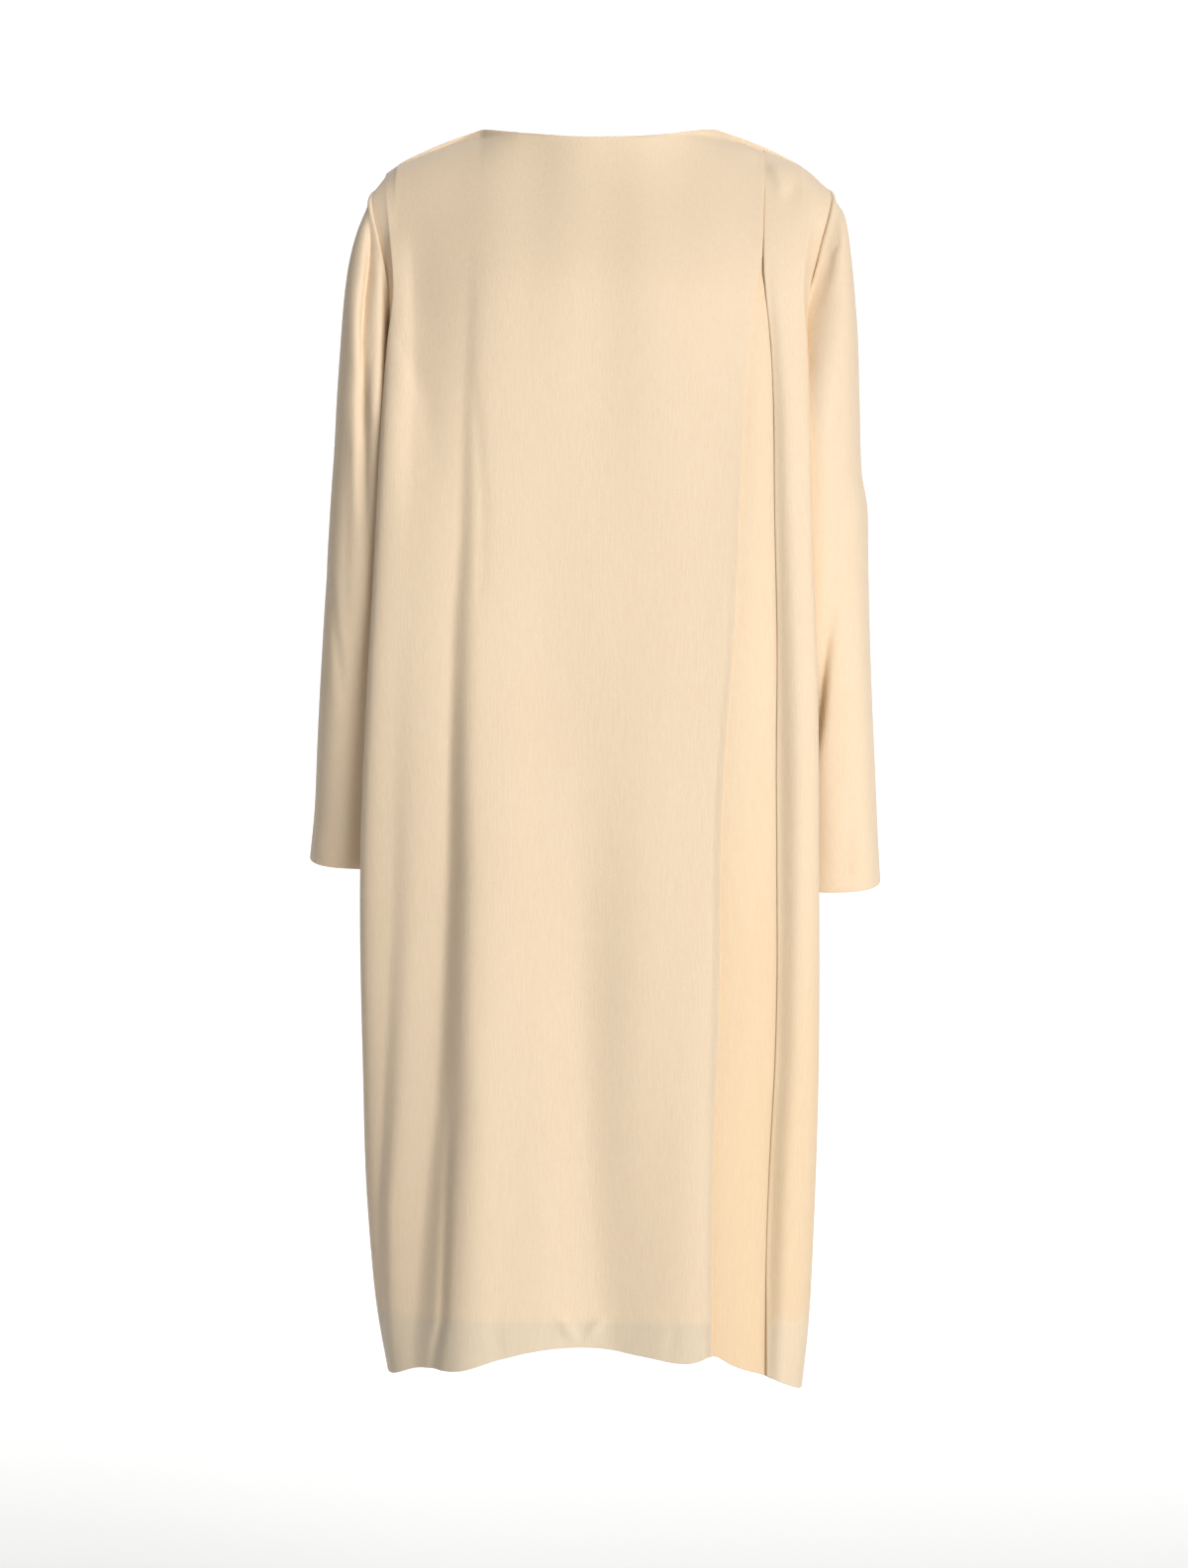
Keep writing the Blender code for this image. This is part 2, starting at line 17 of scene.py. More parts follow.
import bpy
import numpy as np
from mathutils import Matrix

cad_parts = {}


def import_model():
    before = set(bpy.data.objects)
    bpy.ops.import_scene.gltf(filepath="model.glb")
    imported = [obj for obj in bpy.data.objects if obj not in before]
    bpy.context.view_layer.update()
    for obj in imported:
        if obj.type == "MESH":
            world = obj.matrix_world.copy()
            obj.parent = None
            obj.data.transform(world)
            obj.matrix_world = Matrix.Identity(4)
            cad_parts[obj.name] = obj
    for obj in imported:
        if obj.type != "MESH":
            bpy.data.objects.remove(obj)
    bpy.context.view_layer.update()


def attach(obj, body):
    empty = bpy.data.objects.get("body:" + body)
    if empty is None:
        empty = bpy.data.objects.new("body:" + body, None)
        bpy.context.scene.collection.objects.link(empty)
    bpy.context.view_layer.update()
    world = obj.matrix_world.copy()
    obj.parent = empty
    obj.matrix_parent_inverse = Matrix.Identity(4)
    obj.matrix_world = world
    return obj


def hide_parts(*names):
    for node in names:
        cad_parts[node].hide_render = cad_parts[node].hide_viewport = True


LOG = logging.getLogger("tunic_dress")

MM = 0.001
CLOTH = 0.0006  # Thickness of the crepe
LAYER = 0.0009  # From the middle of one layer to that of the layer behind it
TURN_ROLL = ((0.93, 0.60), (0.5, 1.0), (0.07, 0.60))  # Depth and bulge round a turned edge
LOWEST = -1.100  # Height at which the hem's width is read
TINY = 1e-12

# Gives X and the depth of the layer at each height
Column = Callable[[np.ndarray], tuple[np.ndarray, np.ndarray]]


class Side(Enum):
    """Side of the dress as the photo shows it, with the sign of X there."""

    LEFT = -1
    RIGHT = 1


class Facing(Enum):
    """Way a panel faces, with the sign of Y there."""

    BACK = -1
    FRONT = 1


class Sizes:
    """Rows of sizes under named columns, read on a smooth curve through the rows."""

    def __init__(self, columns: tuple[str, ...], rows: tuple[tuple[float, ...], ...]) -> None:
        """Keep the rows.

        Args:
            columns: Name of each column; the first is the key.
            rows: One tuple of numbers for each key, keys rising.
        """
        self.columns = columns
        self.rows = np.array(rows, float)
        self.keys = self.rows[:, 0]

    def at(self, name: str, key: np.ndarray | float) -> np.ndarray:
        """Read a column.

        Args:
            name: Column to read.
            key: Keys at which to read it; beyond the rows it stays constant.

        Returns:
            The column's values at the keys.
        """
        values = self.rows[:, self.columns.index(name)]
        key = np.clip(key, self.keys[0], self.keys[-1])
        place = np.searchsorted(self.keys, key, side="right") - 1
        place = np.clip(place, 0, len(self.keys) - 2)
        slopes = np.gradient(values, self.keys)
        step = self.keys[place + 1] - self.keys[place]
        s = (key - self.keys[place]) / step
        rise = s * s * (3 - 2 * s)
        start = s * (1 - s) ** 2 * step * slopes[place]
        end = -s * s * (1 - s) * step * slopes[place + 1]
        return values[place] * (1 - rise) + values[place + 1] * rise + start + end


ARMHOLE_OUT = Sizes(("angle", "out"), (
    (0, 0.2000), (36, 0.2050), (54, 0.2010), (72, 0.1940), (90, 0.1870), (126, 0.1820),
    (144, 0.1790), (162, 0.1720), (180, 0.1660), (216, 0.1640), (270, 0.1720), (306, 0.1850),
    (342, 0.1970), (360, 0.2000),
))

# Body of the dress by height: widest points, their depth, centre depth, and roundness
BACK_SHAPE = Sizes(("height", "left", "right", "edge", "centre", "round_x", "round_y"), (
    (-1.110, 0.1840, 0.1750, -0.050, -0.137, 3.0, 4.6),
    (-1.050, 0.1955, 0.1815, -0.054, -0.138, 3.0, 4.6),
    (-0.955, 0.2045, 0.1865, -0.060, -0.138, 3.0, 4.6),
    (-0.830, 0.2078, 0.1900, -0.068, -0.137, 3.1, 4.8),
    (-0.660, 0.2090, 0.1902, -0.074, -0.134, 3.3, 5.0),
    (-0.510, 0.2021, 0.1892, -0.080, -0.129, 3.5, 5.0),
    (-0.385, 0.1944, 0.1850, -0.084, -0.124, 3.4, 4.6),
    (-0.280, 0.1890, 0.1828, -0.086, -0.119, 3.0, 3.4),
    (-0.200, 0.1835, 0.1805, -0.082, -0.115, 2.5, 1.6),
    (-0.150, 0.1785, 0.1775, -0.078, -0.110, 2.4, 1.1),
    (-0.100, 0.1830, 0.1830, -0.070, -0.100, 2.3, 1.0),
    (-0.050, 0.1880, 0.1880, -0.062, -0.090, 2.2, 1.0),
    (0.000, 0.1880, 0.1880, -0.060, -0.088, 2.2, 1.0),
))
FRONT_SHAPE = Sizes(("height", "left", "right", "edge", "centre", "round_x", "round_y"), (
    (-1.110, 0.1800, 0.1720, 0.000, 0.136, 2.5, 2.5),
    (-1.050, 0.1900, 0.1770, 0.000, 0.136, 2.5, 2.5),
    (-0.900, 0.1960, 0.1800, 0.000, 0.135, 2.4, 2.4),
    (-0.760, 0.1900, 0.1740, 0.000, 0.133, 2.3, 2.3),
    (-0.680, 0.1740, 0.1650, 0.000, 0.132, 2.1, 2.1),
    (-0.600, 0.1690, 0.1620, 0.000, 0.131, 2.1, 2.1),
    (-0.450, 0.1675, 0.1620, 0.000, 0.130, 2.2, 2.2),
    (-0.330, 0.1665, 0.1640, 0.000, 0.126, 2.3, 2.2),
    (-0.248, 0.1660, 0.1660, 0.000, 0.118, 2.3, 2.0),
    (-0.180, 0.1700, 0.1700, 0.030, 0.106, 2.3, 1.3),
    (-0.130, 0.1750, 0.1750, 0.040, 0.094, 2.2, 1.0),
    (-0.050, 0.1905, 0.1980, 0.030, 0.080, 2.2, 1.0),
    (0.000, 0.1935, 0.2000, 0.030, 0.078, 2.2, 1.0),
))

# The back's inverted pleat by height: outer folds, radius of their roll, underlay's bulge
PLEAT_FOLDS = Sizes(("height", "left", "right", "roll", "bulge"), (
    (-1.110, 0.0964, 0.1435, 0.0009, 0.0012), (-1.060, 0.0965, 0.1434, 0.0008, 0.0012),
    (-0.990, 0.0966, 0.1433, 0.0004, 0.0008), (-0.890, 0.0981, 0.1470, 0.0004, 0.0008),
    (-0.820, 0.1015, 0.1508, 0.0004, 0.0008), (-0.750, 0.1033, 0.1526, 0.0004, 0.0008),
    (-0.670, 0.1035, 0.1526, 0.0004, 0.0008), (-0.570, 0.1070, 0.1522, 0.0004, 0.0008),
    (-0.457, 0.1160, 0.1530, 0.0004, 0.0008), (-0.345, 0.1215, 0.1510, 0.0004, 0.0008),
    (-0.249, 0.1257, 0.1503, 0.0004, 0.0008), (-0.193, 0.1310, 0.1478, 0.0004, 0.0006),
    (-0.160, 0.1352, 0.1446, 0.0005, 0.0004), (-0.146, 0.1384, 0.1435, 0.0007, 0.0000),
    (-0.134, 0.1411, 0.1424, 0.0009, 0.0000), (-0.120, 0.1417, 0.1429, 0.0009, 0.0000),
    (-0.105, 0.1425, 0.1432, 0.0007, 0.0000), (-0.075, 0.1439, 0.1444, 0.0005, 0.0000),
    (-0.058, 0.1450, 0.1453, 0.0004, 0.0000), (-0.051, 0.1457, 0.1457, 0.0004, 0.0000),
    (0.000, 0.1470, 0.1470, 0.0004, 0.0000),
))

# Hems by distance from the centre line
HEMS = Sizes(("across", "back", "front"), (
    (-0.210, -1.100, -1.098), (-0.185, -1.097, -1.096), (-0.155, -1.087, -1.090),
    (-0.117, -1.084, -1.086), (-0.085, -1.074, -1.084), (-0.048, -1.0655, -1.082),
    (0.000, -1.064, -1.082), (0.037, -1.070, -1.082), (0.080, -1.0745, -1.084),
    (0.098, -1.0690, -1.086), (0.115, -1.0780, -1.088), (0.145, -1.0885, -1.092),
    (0.180, -1.1040, -1.102),
))

# Sleeve rings from the armhole to the cuff
SLEEVE_COLUMNS = ("ring", "outer", "outer_z", "inner", "inner_z", "depth", "half_depth")
LEFT_RINGS = Sizes(SLEEVE_COLUMNS, (
    (0, 0.2000, -0.0475, 0.1660, -0.2475, -0.006, 0.062),
    (1, 0.2056, -0.0640, 0.1700, -0.2530, -0.004, 0.064),
    (2, 0.2142, -0.0885, 0.1722, -0.2610, -0.001, 0.066),
    (3, 0.2208, -0.1165, 0.1742, -0.2720, 0.002, 0.067),
    (4, 0.2250, -0.1480, 0.1760, -0.2860, 0.004, 0.068),
    (5, 0.2280, -0.1850, 0.1775, -0.3030, 0.006, 0.069),
    (6, 0.2310, -0.2300, 0.1790, -0.3260, 0.008, 0.070),
    (7, 0.2335, -0.2850, 0.1795, -0.3560, 0.009, 0.070),
    (8, 0.2370, -0.3400, 0.1800, -0.3900, 0.010, 0.069),
    (9, 0.2408, -0.3950, 0.1805, -0.4280, 0.012, 0.067),
    (10, 0.2445, -0.4450, 0.1808, -0.4650, 0.017, 0.064),
    (11, 0.2480, -0.4950, 0.1810, -0.5080, 0.025, 0.061),
    (12, 0.2515, -0.5500, 0.1812, -0.5570, 0.036, 0.058),
    (13, 0.2545, -0.6000, 0.1815, -0.6030, 0.046, 0.055),
    (14, 0.2595, -0.6445, 0.1820, -0.6480, 0.056, 0.052),
))
RIGHT_RINGS = Sizes(SLEEVE_COLUMNS, (
    (0, 0.2000, -0.0475, 0.1660, -0.2475, -0.006, 0.062),
    (1, 0.2080, -0.0600, 0.1700, -0.2530, -0.004, 0.064),
    (2, 0.2165, -0.0760, 0.1722, -0.2610, -0.001, 0.066),
    (3, 0.2215, -0.1080, 0.1738, -0.2720, 0.002, 0.067),
    (4, 0.2250, -0.1450, 0.1748, -0.2860, 0.004, 0.068),
    (5, 0.2278, -0.1880, 0.1756, -0.3030, 0.006, 0.069),
    (6, 0.2290, -0.2350, 0.1762, -0.3260, 0.008, 0.070),
    (7, 0.2315, -0.3030, 0.1765, -0.3560, 0.009, 0.070),
    (8, 0.2372, -0.3380, 0.1768, -0.3900, 0.010, 0.069),
    (9, 0.2385, -0.3950, 0.1768, -0.4280, 0.012, 0.067),
    (10, 0.2400, -0.4500, 0.1768, -0.4650, 0.017, 0.064),
    (11, 0.2426, -0.5100, 0.1768, -0.5180, 0.026, 0.061),
    (12, 0.2460, -0.5650, 0.1768, -0.5700, 0.037, 0.058),
    (13, 0.2495, -0.6200, 0.1770, -0.6230, 0.047, 0.055),
    (14, 0.2530, -0.6655, 0.1775, -0.6690, 0.057, 0.052),
))


def ease(value: np.ndarray | float) -> np.ndarray:
    """Smooth step from 0 to 1.

    Args:
        value: Share of the way, clipped to 0 to 1.

    Returns:
        The eased share.
    """
    value = np.clip(value, 0.0, 1.0)
    return value * value * (3 - 2 * value)


def signed_power(value: np.ndarray, power: float) -> np.ndarray:
    """Raise the size of a value to a power and keep its sign.

    Args:
        value: Values of either sign.
        power: Power for their sizes.

    Returns:
        The powers with the values' signs.
    """
    return np.sign(value) * np.abs(value) ** power


@dataclass(frozen=True)
class Crease:
    """Soft trough or ridge that runs along a path over the face of a cloth.

    Each row is a point: X and Z, depth into the cloth (a ridge's is negative), and the
    half widths on the path's left and right as it goes down, all in millimetres. Where the
    half widths stay the same they are given once, in widths.
    """

    rows: tuple[tuple[float, ...], ...]
    widths: tuple[float, ...] = ()

    def press(self, x: np.ndarray, z: np.ndarray) -> np.ndarray:
        """Say how far the crease moves the cloth inwards.

        Args:
            x: X of the cloth's points.
            z: Z of the cloth's points.

        Returns:
            The depth at each point.
        """
        rows = np.array([(*row, *self.widths) for row in self.rows]) * MM
        nearest = np.full(x.shape, np.inf)
        result = np.zeros(x.shape)
        for start, end in zip(rows, rows[1:]):
            along = end[:2] - start[:2]
            dx, dz = x - start[0], z - start[1]
            t = np.clip((dx * along[0] + dz * along[1]) / (along @ along), 0.0, 1.0)
            away = np.hypot(dx - t * along[0], dz - t * along[1])
            on_right = along[0] * dz - along[1] * dx > 0
            depth, left, right = (start[2:, None] + (end - start)[2:, None] * t.ravel())
            width = np.where(on_right, right.reshape(x.shape), left.reshape(x.shape))
            value = depth.reshape(x.shape) * np.exp(-((away / width) ** 2))
            closer = away < nearest
            result[closer] = value[closer]
            nearest = np.minimum(nearest, away)
        return result


@dataclass(frozen=True)
class Wander:
    """Slow unevenness of hanging cloth: a sum of waves, longer down than across."""

    seed: int
    size: float = 0.0007
    waves: int = 9
    across: tuple[float, float] = (0.055, 0.140)
    down: tuple[float, float] = (0.220, 0.600)

    def press(self, x: np.ndarray, z: np.ndarray) -> np.ndarray:
        """Say how far the unevenness moves the cloth inwards.

        Args:
            x: X of the cloth's points.
            z: Z of the cloth's points.

        Returns:
            The depth at each point.
        """
        draw = np.random.default_rng(self.seed)
        total = np.zeros(x.shape)
        for _ in range(self.waves):
            wide, tall = draw.uniform(*self.across), draw.uniform(*self.down)
            lean, phase = draw.uniform(-1.0, 1.0), draw.uniform(0.0, 2 * math.pi)
            total += np.sin(2 * math.pi * (x / wide + lean * z / tall) + phase)
        return total * self.size / math.sqrt(self.waves)


def press_all(parts: tuple[Crease | Wander, ...], x: np.ndarray, z: np.ndarray) -> np.ndarray:
    """Add up what several creases do.

    Args:
        parts: Creases and unevenness of one cloth.
        x: X of the cloth's points.
        z: Z of the cloth's points.

    Returns:
        The depth at each point.
    """
    return sum((part.press(x, z) for part in parts), np.zeros(x.shape))


BACK_CREASES = (
    # Left of the shoulder blades the cloth falls away
    Crease((
        (-176, -36, 0, 20, 50), (-174, -90, 7, 22, 55), (-172, -160, 6, 22, 50),
        (-168, -240, 3, 22, 46), (-165, -340, 0, 22, 40),
    )),
    # The lower left side falls away
    Crease((
        (-212, -360, 0), (-212, -480, 6), (-212, -600, 18), (-212, -700, 26), (-210, -850, 30),
        (-205, -1000, 27), (-200, -1100, 18),
    ), (40, 80)),
    # The right side stands out
    Crease((
        (190, -240, 0, 70, 20), (192, -380, -4, 74, 20), (194, -600, -7, 78, 20),
        (194, -900, -8, 78, 20), (186, -1100, -7, 74, 20),
    )),
    # Long fold down the left half: the middle steps over the cloth on its left
    Crease((
        (-112, -110, 0, 90, 9), (-115, -166, 2, 100, 9), (-117, -230, 3.6, 110, 9),
        (-119, -300, 5.4, 120, 10), (-121, -374, 7.2, 130, 10), (-127, -450, 11, 140, 12),
        (-130, -560, 16.5, 150, 12), (-131, -654, 20.5, 150, 13), (-134, -722, 22, 150, 14),
        (-137, -800, 24, 150, 15), (-142, -860, 25, 150, 20), (-150, -930, 28, 150, 23),
        (-156, -989, 29, 150, 25), (-162, -1060, 29, 150, 26), (-163, -1100, 28, 150, 25),
    )),
    # Lines pressed into the trough's wall
    Crease((
        (-108, -225, 0, 4, 5), (-104, -276, 1.2, 4, 5), (-101, -335, 1.4, 4, 6),
        (-101, -400, 0.9, 4, 6), (-104, -450, 0, 4, 5),
    )),
    Crease((
        (-126, -850, 0, 4, 3), (-129, -900, 3.4, 5, 3), (-132, -989, 5.4, 5, 3),
        (-134, -1043, 6, 5, 3), (-139, -1066, 5.4, 5, 3.5), (-144, -1095, 3, 5, 4),
    )),
    # Wide, shallow step down the centre
    Crease((
        (-30, -380, 0, 100, 60), (-28, -480, 4, 110, 56), (-24, -630, 9, 110, 54),
        (-20, -757, 14, 110, 50), (-14, -900, 16.5, 110, 48), (-6, -1000, 17, 110, 44),
        (2, -1060, 16.5, 100, 38), (5, -1100, 16, 100, 38),
    )),
    # Fold along the lower left side
    Crease((
        (-178, -440, 0, 30, 12), (-178, -560, 1.8, 30, 12), (-181, -700, 3.8, 30, 11),
        (-186, -800, 6, 30, 10), (-190, -880, 8, 30, 9), (-194, -950, 10, 30, 7),
        (-193, -1000, 11.5, 30, 6), (-191, -1060, 11, 30, 5.5), (-188, -1100, 10.5, 30, 5.5),
    )),
    # The cloth dips into the pleat along its right fold and lifts along its left one
    Crease((
        (143, -120, 0, 10, 6), (147, -190, 3.6, 10, 7), (149, -249, 5.4, 14, 8),
        (150, -345, 6.4, 20, 9), (151, -457, 9, 24, 11), (152, -570, 10.2, 28, 12),
        (152, -700, 11, 32, 13), (150, -820, 11, 30, 13), (146, -890, 10.4, 30, 12),
        (143, -990, 9.8, 28, 11), (141, -1100, 8.6, 26, 10),
    )),
    Crease((
        (126, -200, 0, 30, 6), (116, -300, 0.6, 40, 6), (108, -457, 1.1, 40, 6),
        (97, -600, 1.6, 40, 6), (95, -750, 2, 40, 7), (92, -850, 2.2, 40, 7),
        (90, -950, 2.2, 40, 7), (89, -1100, 2, 40, 7),
    )),
    # Highlight beside the left armhole, and drag lines from the underarms
    Crease((
        (-178, -90, 0, 6, 12), (-180, -125, -2.6, 6, 14), (-182, -190, -4.6, 6, 18),
        (-184, -260, -4, 6, 18), (-186, -360, 0, 6, 16),
    )),
    Crease((
        (-162, -90, 0, 8, 16), (-160, -150, 3, 9, 24), (-157, -220, 3.6, 10, 26),
        (-158, -300, 2.4, 12, 26), (-164, -400, 0, 12, 22),
    )),
    Crease(((-170, -205, 1, 6, 10), (-150, -250, 1.2, 7, 12), (-140, -330, 0, 8, 12))),
    # Pucker of the tack at the pleat's top
    Crease((
        (130, -22, 0, 10, 8), (139, -29, 2.6, 9, 6), (146, -36, 3.6, 8, 5), (150, -44, 0, 5, 4),
    )),
    Crease((
        (153, -34, 0, 6, 7), (156, -42, -4, 6, 8), (160, -54, -3.6, 6, 8), (162, -68, 0, 5, 6),
    )),
    Crease(((168, -44, 0, 6, 8), (170, -58, 1.8, 6, 8), (164, -84, 0, 7, 8))),
    # Line that the hem's turn-up prints through, and its puckers
    Crease((
        (-134, -1044, 0, 2.2, 2.2), (-110, -1042, 0.35, 2.4, 2.4), (-60, -1040.5, 0.2, 2.4, 2.4),
        (-20, -1041, 0.4, 2.4, 2.4), (20, -1040, 0.2, 2.4, 2.4), (50, -1041.5, 0.35, 2.4, 2.4),
        (84, -1043, 0, 2.2, 2.2),
    )),
    Crease(((-38, -1037, 0, 4, 4), (-27, -1048, -3, 4, 4), (-16, -1061, 0, 3, 3))),
    Crease(((6, -1037, 0, 4, 4), (-4, -1047, -2.4, 4, 4), (-14, -1060, 0, 3, 3))),
    Crease(((60, -1030, 0), (63, -1048, 0.7), (60, -1075, 0.5)), (5, 6)),
    Crease(((-90, -1030, 0), (-88, -1050, 0.8), (-86, -1085, 0.6)), (6, 6)),
    Wander(seed=11),
)
FRONT_CREASES = (
    Crease((
        (-88, -200, 0, 14, 20), (-96, -420, 4, 16, 20), (-101, -700, 7.5, 18, 18),
        (-106, -900, 10, 22, 14), (-110, -1100, 11, 24, 12),
    )),
    Crease((
        (84, -240, 0, 20, 14), (92, -480, 3.6, 20, 16), (99, -800, 7, 20, 18),
        (104, -1100, 9, 18, 20),
    )),
    Crease(((-10, -480, 0, 30, 30), (-18, -760, 3.6, 30, 30), (-25, -1100, 6.2, 30, 28))),
    Crease(((38, -600, 0, 22, 20), (44, -850, 2.6, 20, 20), (48, -1100, 4.6, 20, 18))),
    Crease(((-150, -640, 0), (-154, -850, 3), (-150, -1100, 5)), (12, 12)),
    Crease(((-40, -118, 0, 12, 14), (-30, -170, 1.4, 14, 16), (-26, -260, 0, 16, 18))),
    Crease(((62, -90, 0, 10, 10), (70, -150, 1.5, 12, 12), (74, -240, 0, 14, 14))),
    Crease(((-140, -150, 0.8, 8, 12), (-122, -210, 1.6, 9, 14), (-112, -300, 0, 10, 14))),
    Crease(((142, -150, 0.8, 12, 8), (126, -205, 1.5, 14, 9), (118, -290, 0, 14, 10))),
    Wander(seed=23, size=0.0009),
)
LEFT_BACK_CREASES = (
    # Fold of the sleeve beside the body, with the tube of cloth between them
    Crease((
        (-201, -84, 0, 4, 4), (-200, -108, 6, 4, 4), (-200, -130, 9, 4, 4), (-202, -159, 9.5, 5, 4),
        (-203, -182, 9.5, 5, 4), (-204, -253, 8, 5, 4), (-204, -311, 5, 6, 5),
        (-201, -381, 0, 7, 6),
    )),
    Crease((
        (-193, -104, 0, 5, 6), (-194, -140, -4.5, 5, 6), (-194, -190, -6, 6, 7),
        (-193, -260, -6, 7, 7), (-193, -320, -4, 7, 7), (-192, -380, 0, 7, 7),
    )),
    Crease((
        (-220, -250, 0, 7, 8), (-222, -290, 2.6, 8, 9), (-222, -360, 3, 8, 9),
        (-222, -430, 2.4, 8, 9), (-220, -480, 0, 7, 8),
    )),
    Crease(((-240, -385, 0), (-234, -425, 1.4), (-228, -470, 1.6), (-222, -520, 0)), (4, 5)),
    Crease(((-206, -520, 0), (-208, -570, 1.6), (-210, -640, 2)), (8, 8)),
    Wander(seed=31, size=0.0008, across=(0.040, 0.090), down=(0.15, 0.40)),
)
LEFT_FRONT_CREASES = (
    Crease(((-206, -150, 0, 7, 8), (-204, -230, 3, 8, 9), (-208, -330, 0, 9, 9))),
    Crease(((-196, -400, 1.5), (-214, -436, 3.2), (-232, -446, 0.5)), (8, 6)),
    Crease(((-198, -450, 0.5), (-218, -478, 2.2), (-236, -482, 0)), (8, 6)),
)
RIGHT_BACK_CREASES = (
    Crease((
        (211, -90, 0, 4, 4), (208, -109, 1.2, 4, 4), (202, -118, 1.4, 4, 4), (200, -132, 1.5, 4, 5),
        (197, -147, 1.4, 5, 5), (195, -172, 1.2, 5, 6), (191, -242, 0.8, 5, 7),
        (189, -300, 0, 6, 8),
    )),
    # The cloth leaves the armhole level with the back
    Crease((
        (186, -120, 0, 12, 18), (187, -180, -12, 12, 20), (187, -250, -15, 12, 22),
        (186, -330, -14, 12, 22), (186, -420, -10, 12, 22), (188, -520, 0, 12, 20),
    )),
    # Elbow crease
    Crease((
        (207, -396, 0, 6, 4), (202, -432, 3, 8, 5), (197, -467, 7, 9, 6), (192, -502, 10, 10, 7),
        (188, -532, 9, 9, 7), (185, -562, 3, 8, 6), (183, -590, 0, 8, 6),
    )),
    Crease(((226, -330, 0, 8, 7), (222, -352, -1.8, 9, 8), (216, -380, 0, 8, 8))),
    Crease(((224, -560, 0), (222, -610, 1.6), (220, -662, 1.8)), (8, 8)),
    Wander(seed=41, size=0.0008, across=(0.040, 0.090), down=(0.15, 0.40)),
)
RIGHT_FRONT_CREASES = (
    Crease(((206, -150, 0, 8, 7), (203, -240, 2.8, 9, 8), (207, -330, 0, 9, 9))),
    Crease(((194, -420, 1.5), (212, -452, 3.4), (228, -462, 0.5)), (6, 8)),
    Crease(((196, -476, 0.5), (214, -500, 2.2), (230, -508, 0)), (6, 8)),
)


def linear(colour: str) -> tuple[float, float, float, float]:
    """Turn an sRGB hex colour to linear.

    Args:
        colour: Colour as "#RRGGBB".

    Returns:
        Linear red, green, blue and an alpha of 1.
    """
    parts = (int(colour[i:i + 2], 16) / 255 for i in (1, 3, 5))
    red, green, blue = (
        part / 12.92 if part <= 0.04045 else ((part + 0.055) / 1.055) ** 2.4 for part in parts
    )
    return red, green, blue, 1.0


def add_node(
    tree: bpy.types.NodeTree, kind: str, links: dict[str, object] | None = None, **settings: object
) -> bpy.types.Node:
    """Add a node with its settings and links.

    Args:
        tree: Node tree that gets the node.
        kind: Blender's type name of the node.
        links: Socket name to an output socket to link from, or a value to set.
        **settings: Properties of the node itself.

    Returns:
        The new node.
    """
    node = tree.nodes.new(kind)
    for name, value in settings.items():
        setattr(node, name, value)
    for name, value in (links or {}).items():
        socket = next(s for s in node.inputs if name in (s.name, s.identifier) and s.enabled)
        if isinstance(value, bpy.types.NodeSocket):
            tree.links.new(value, socket)
        else:
            socket.default_value = value
    return node


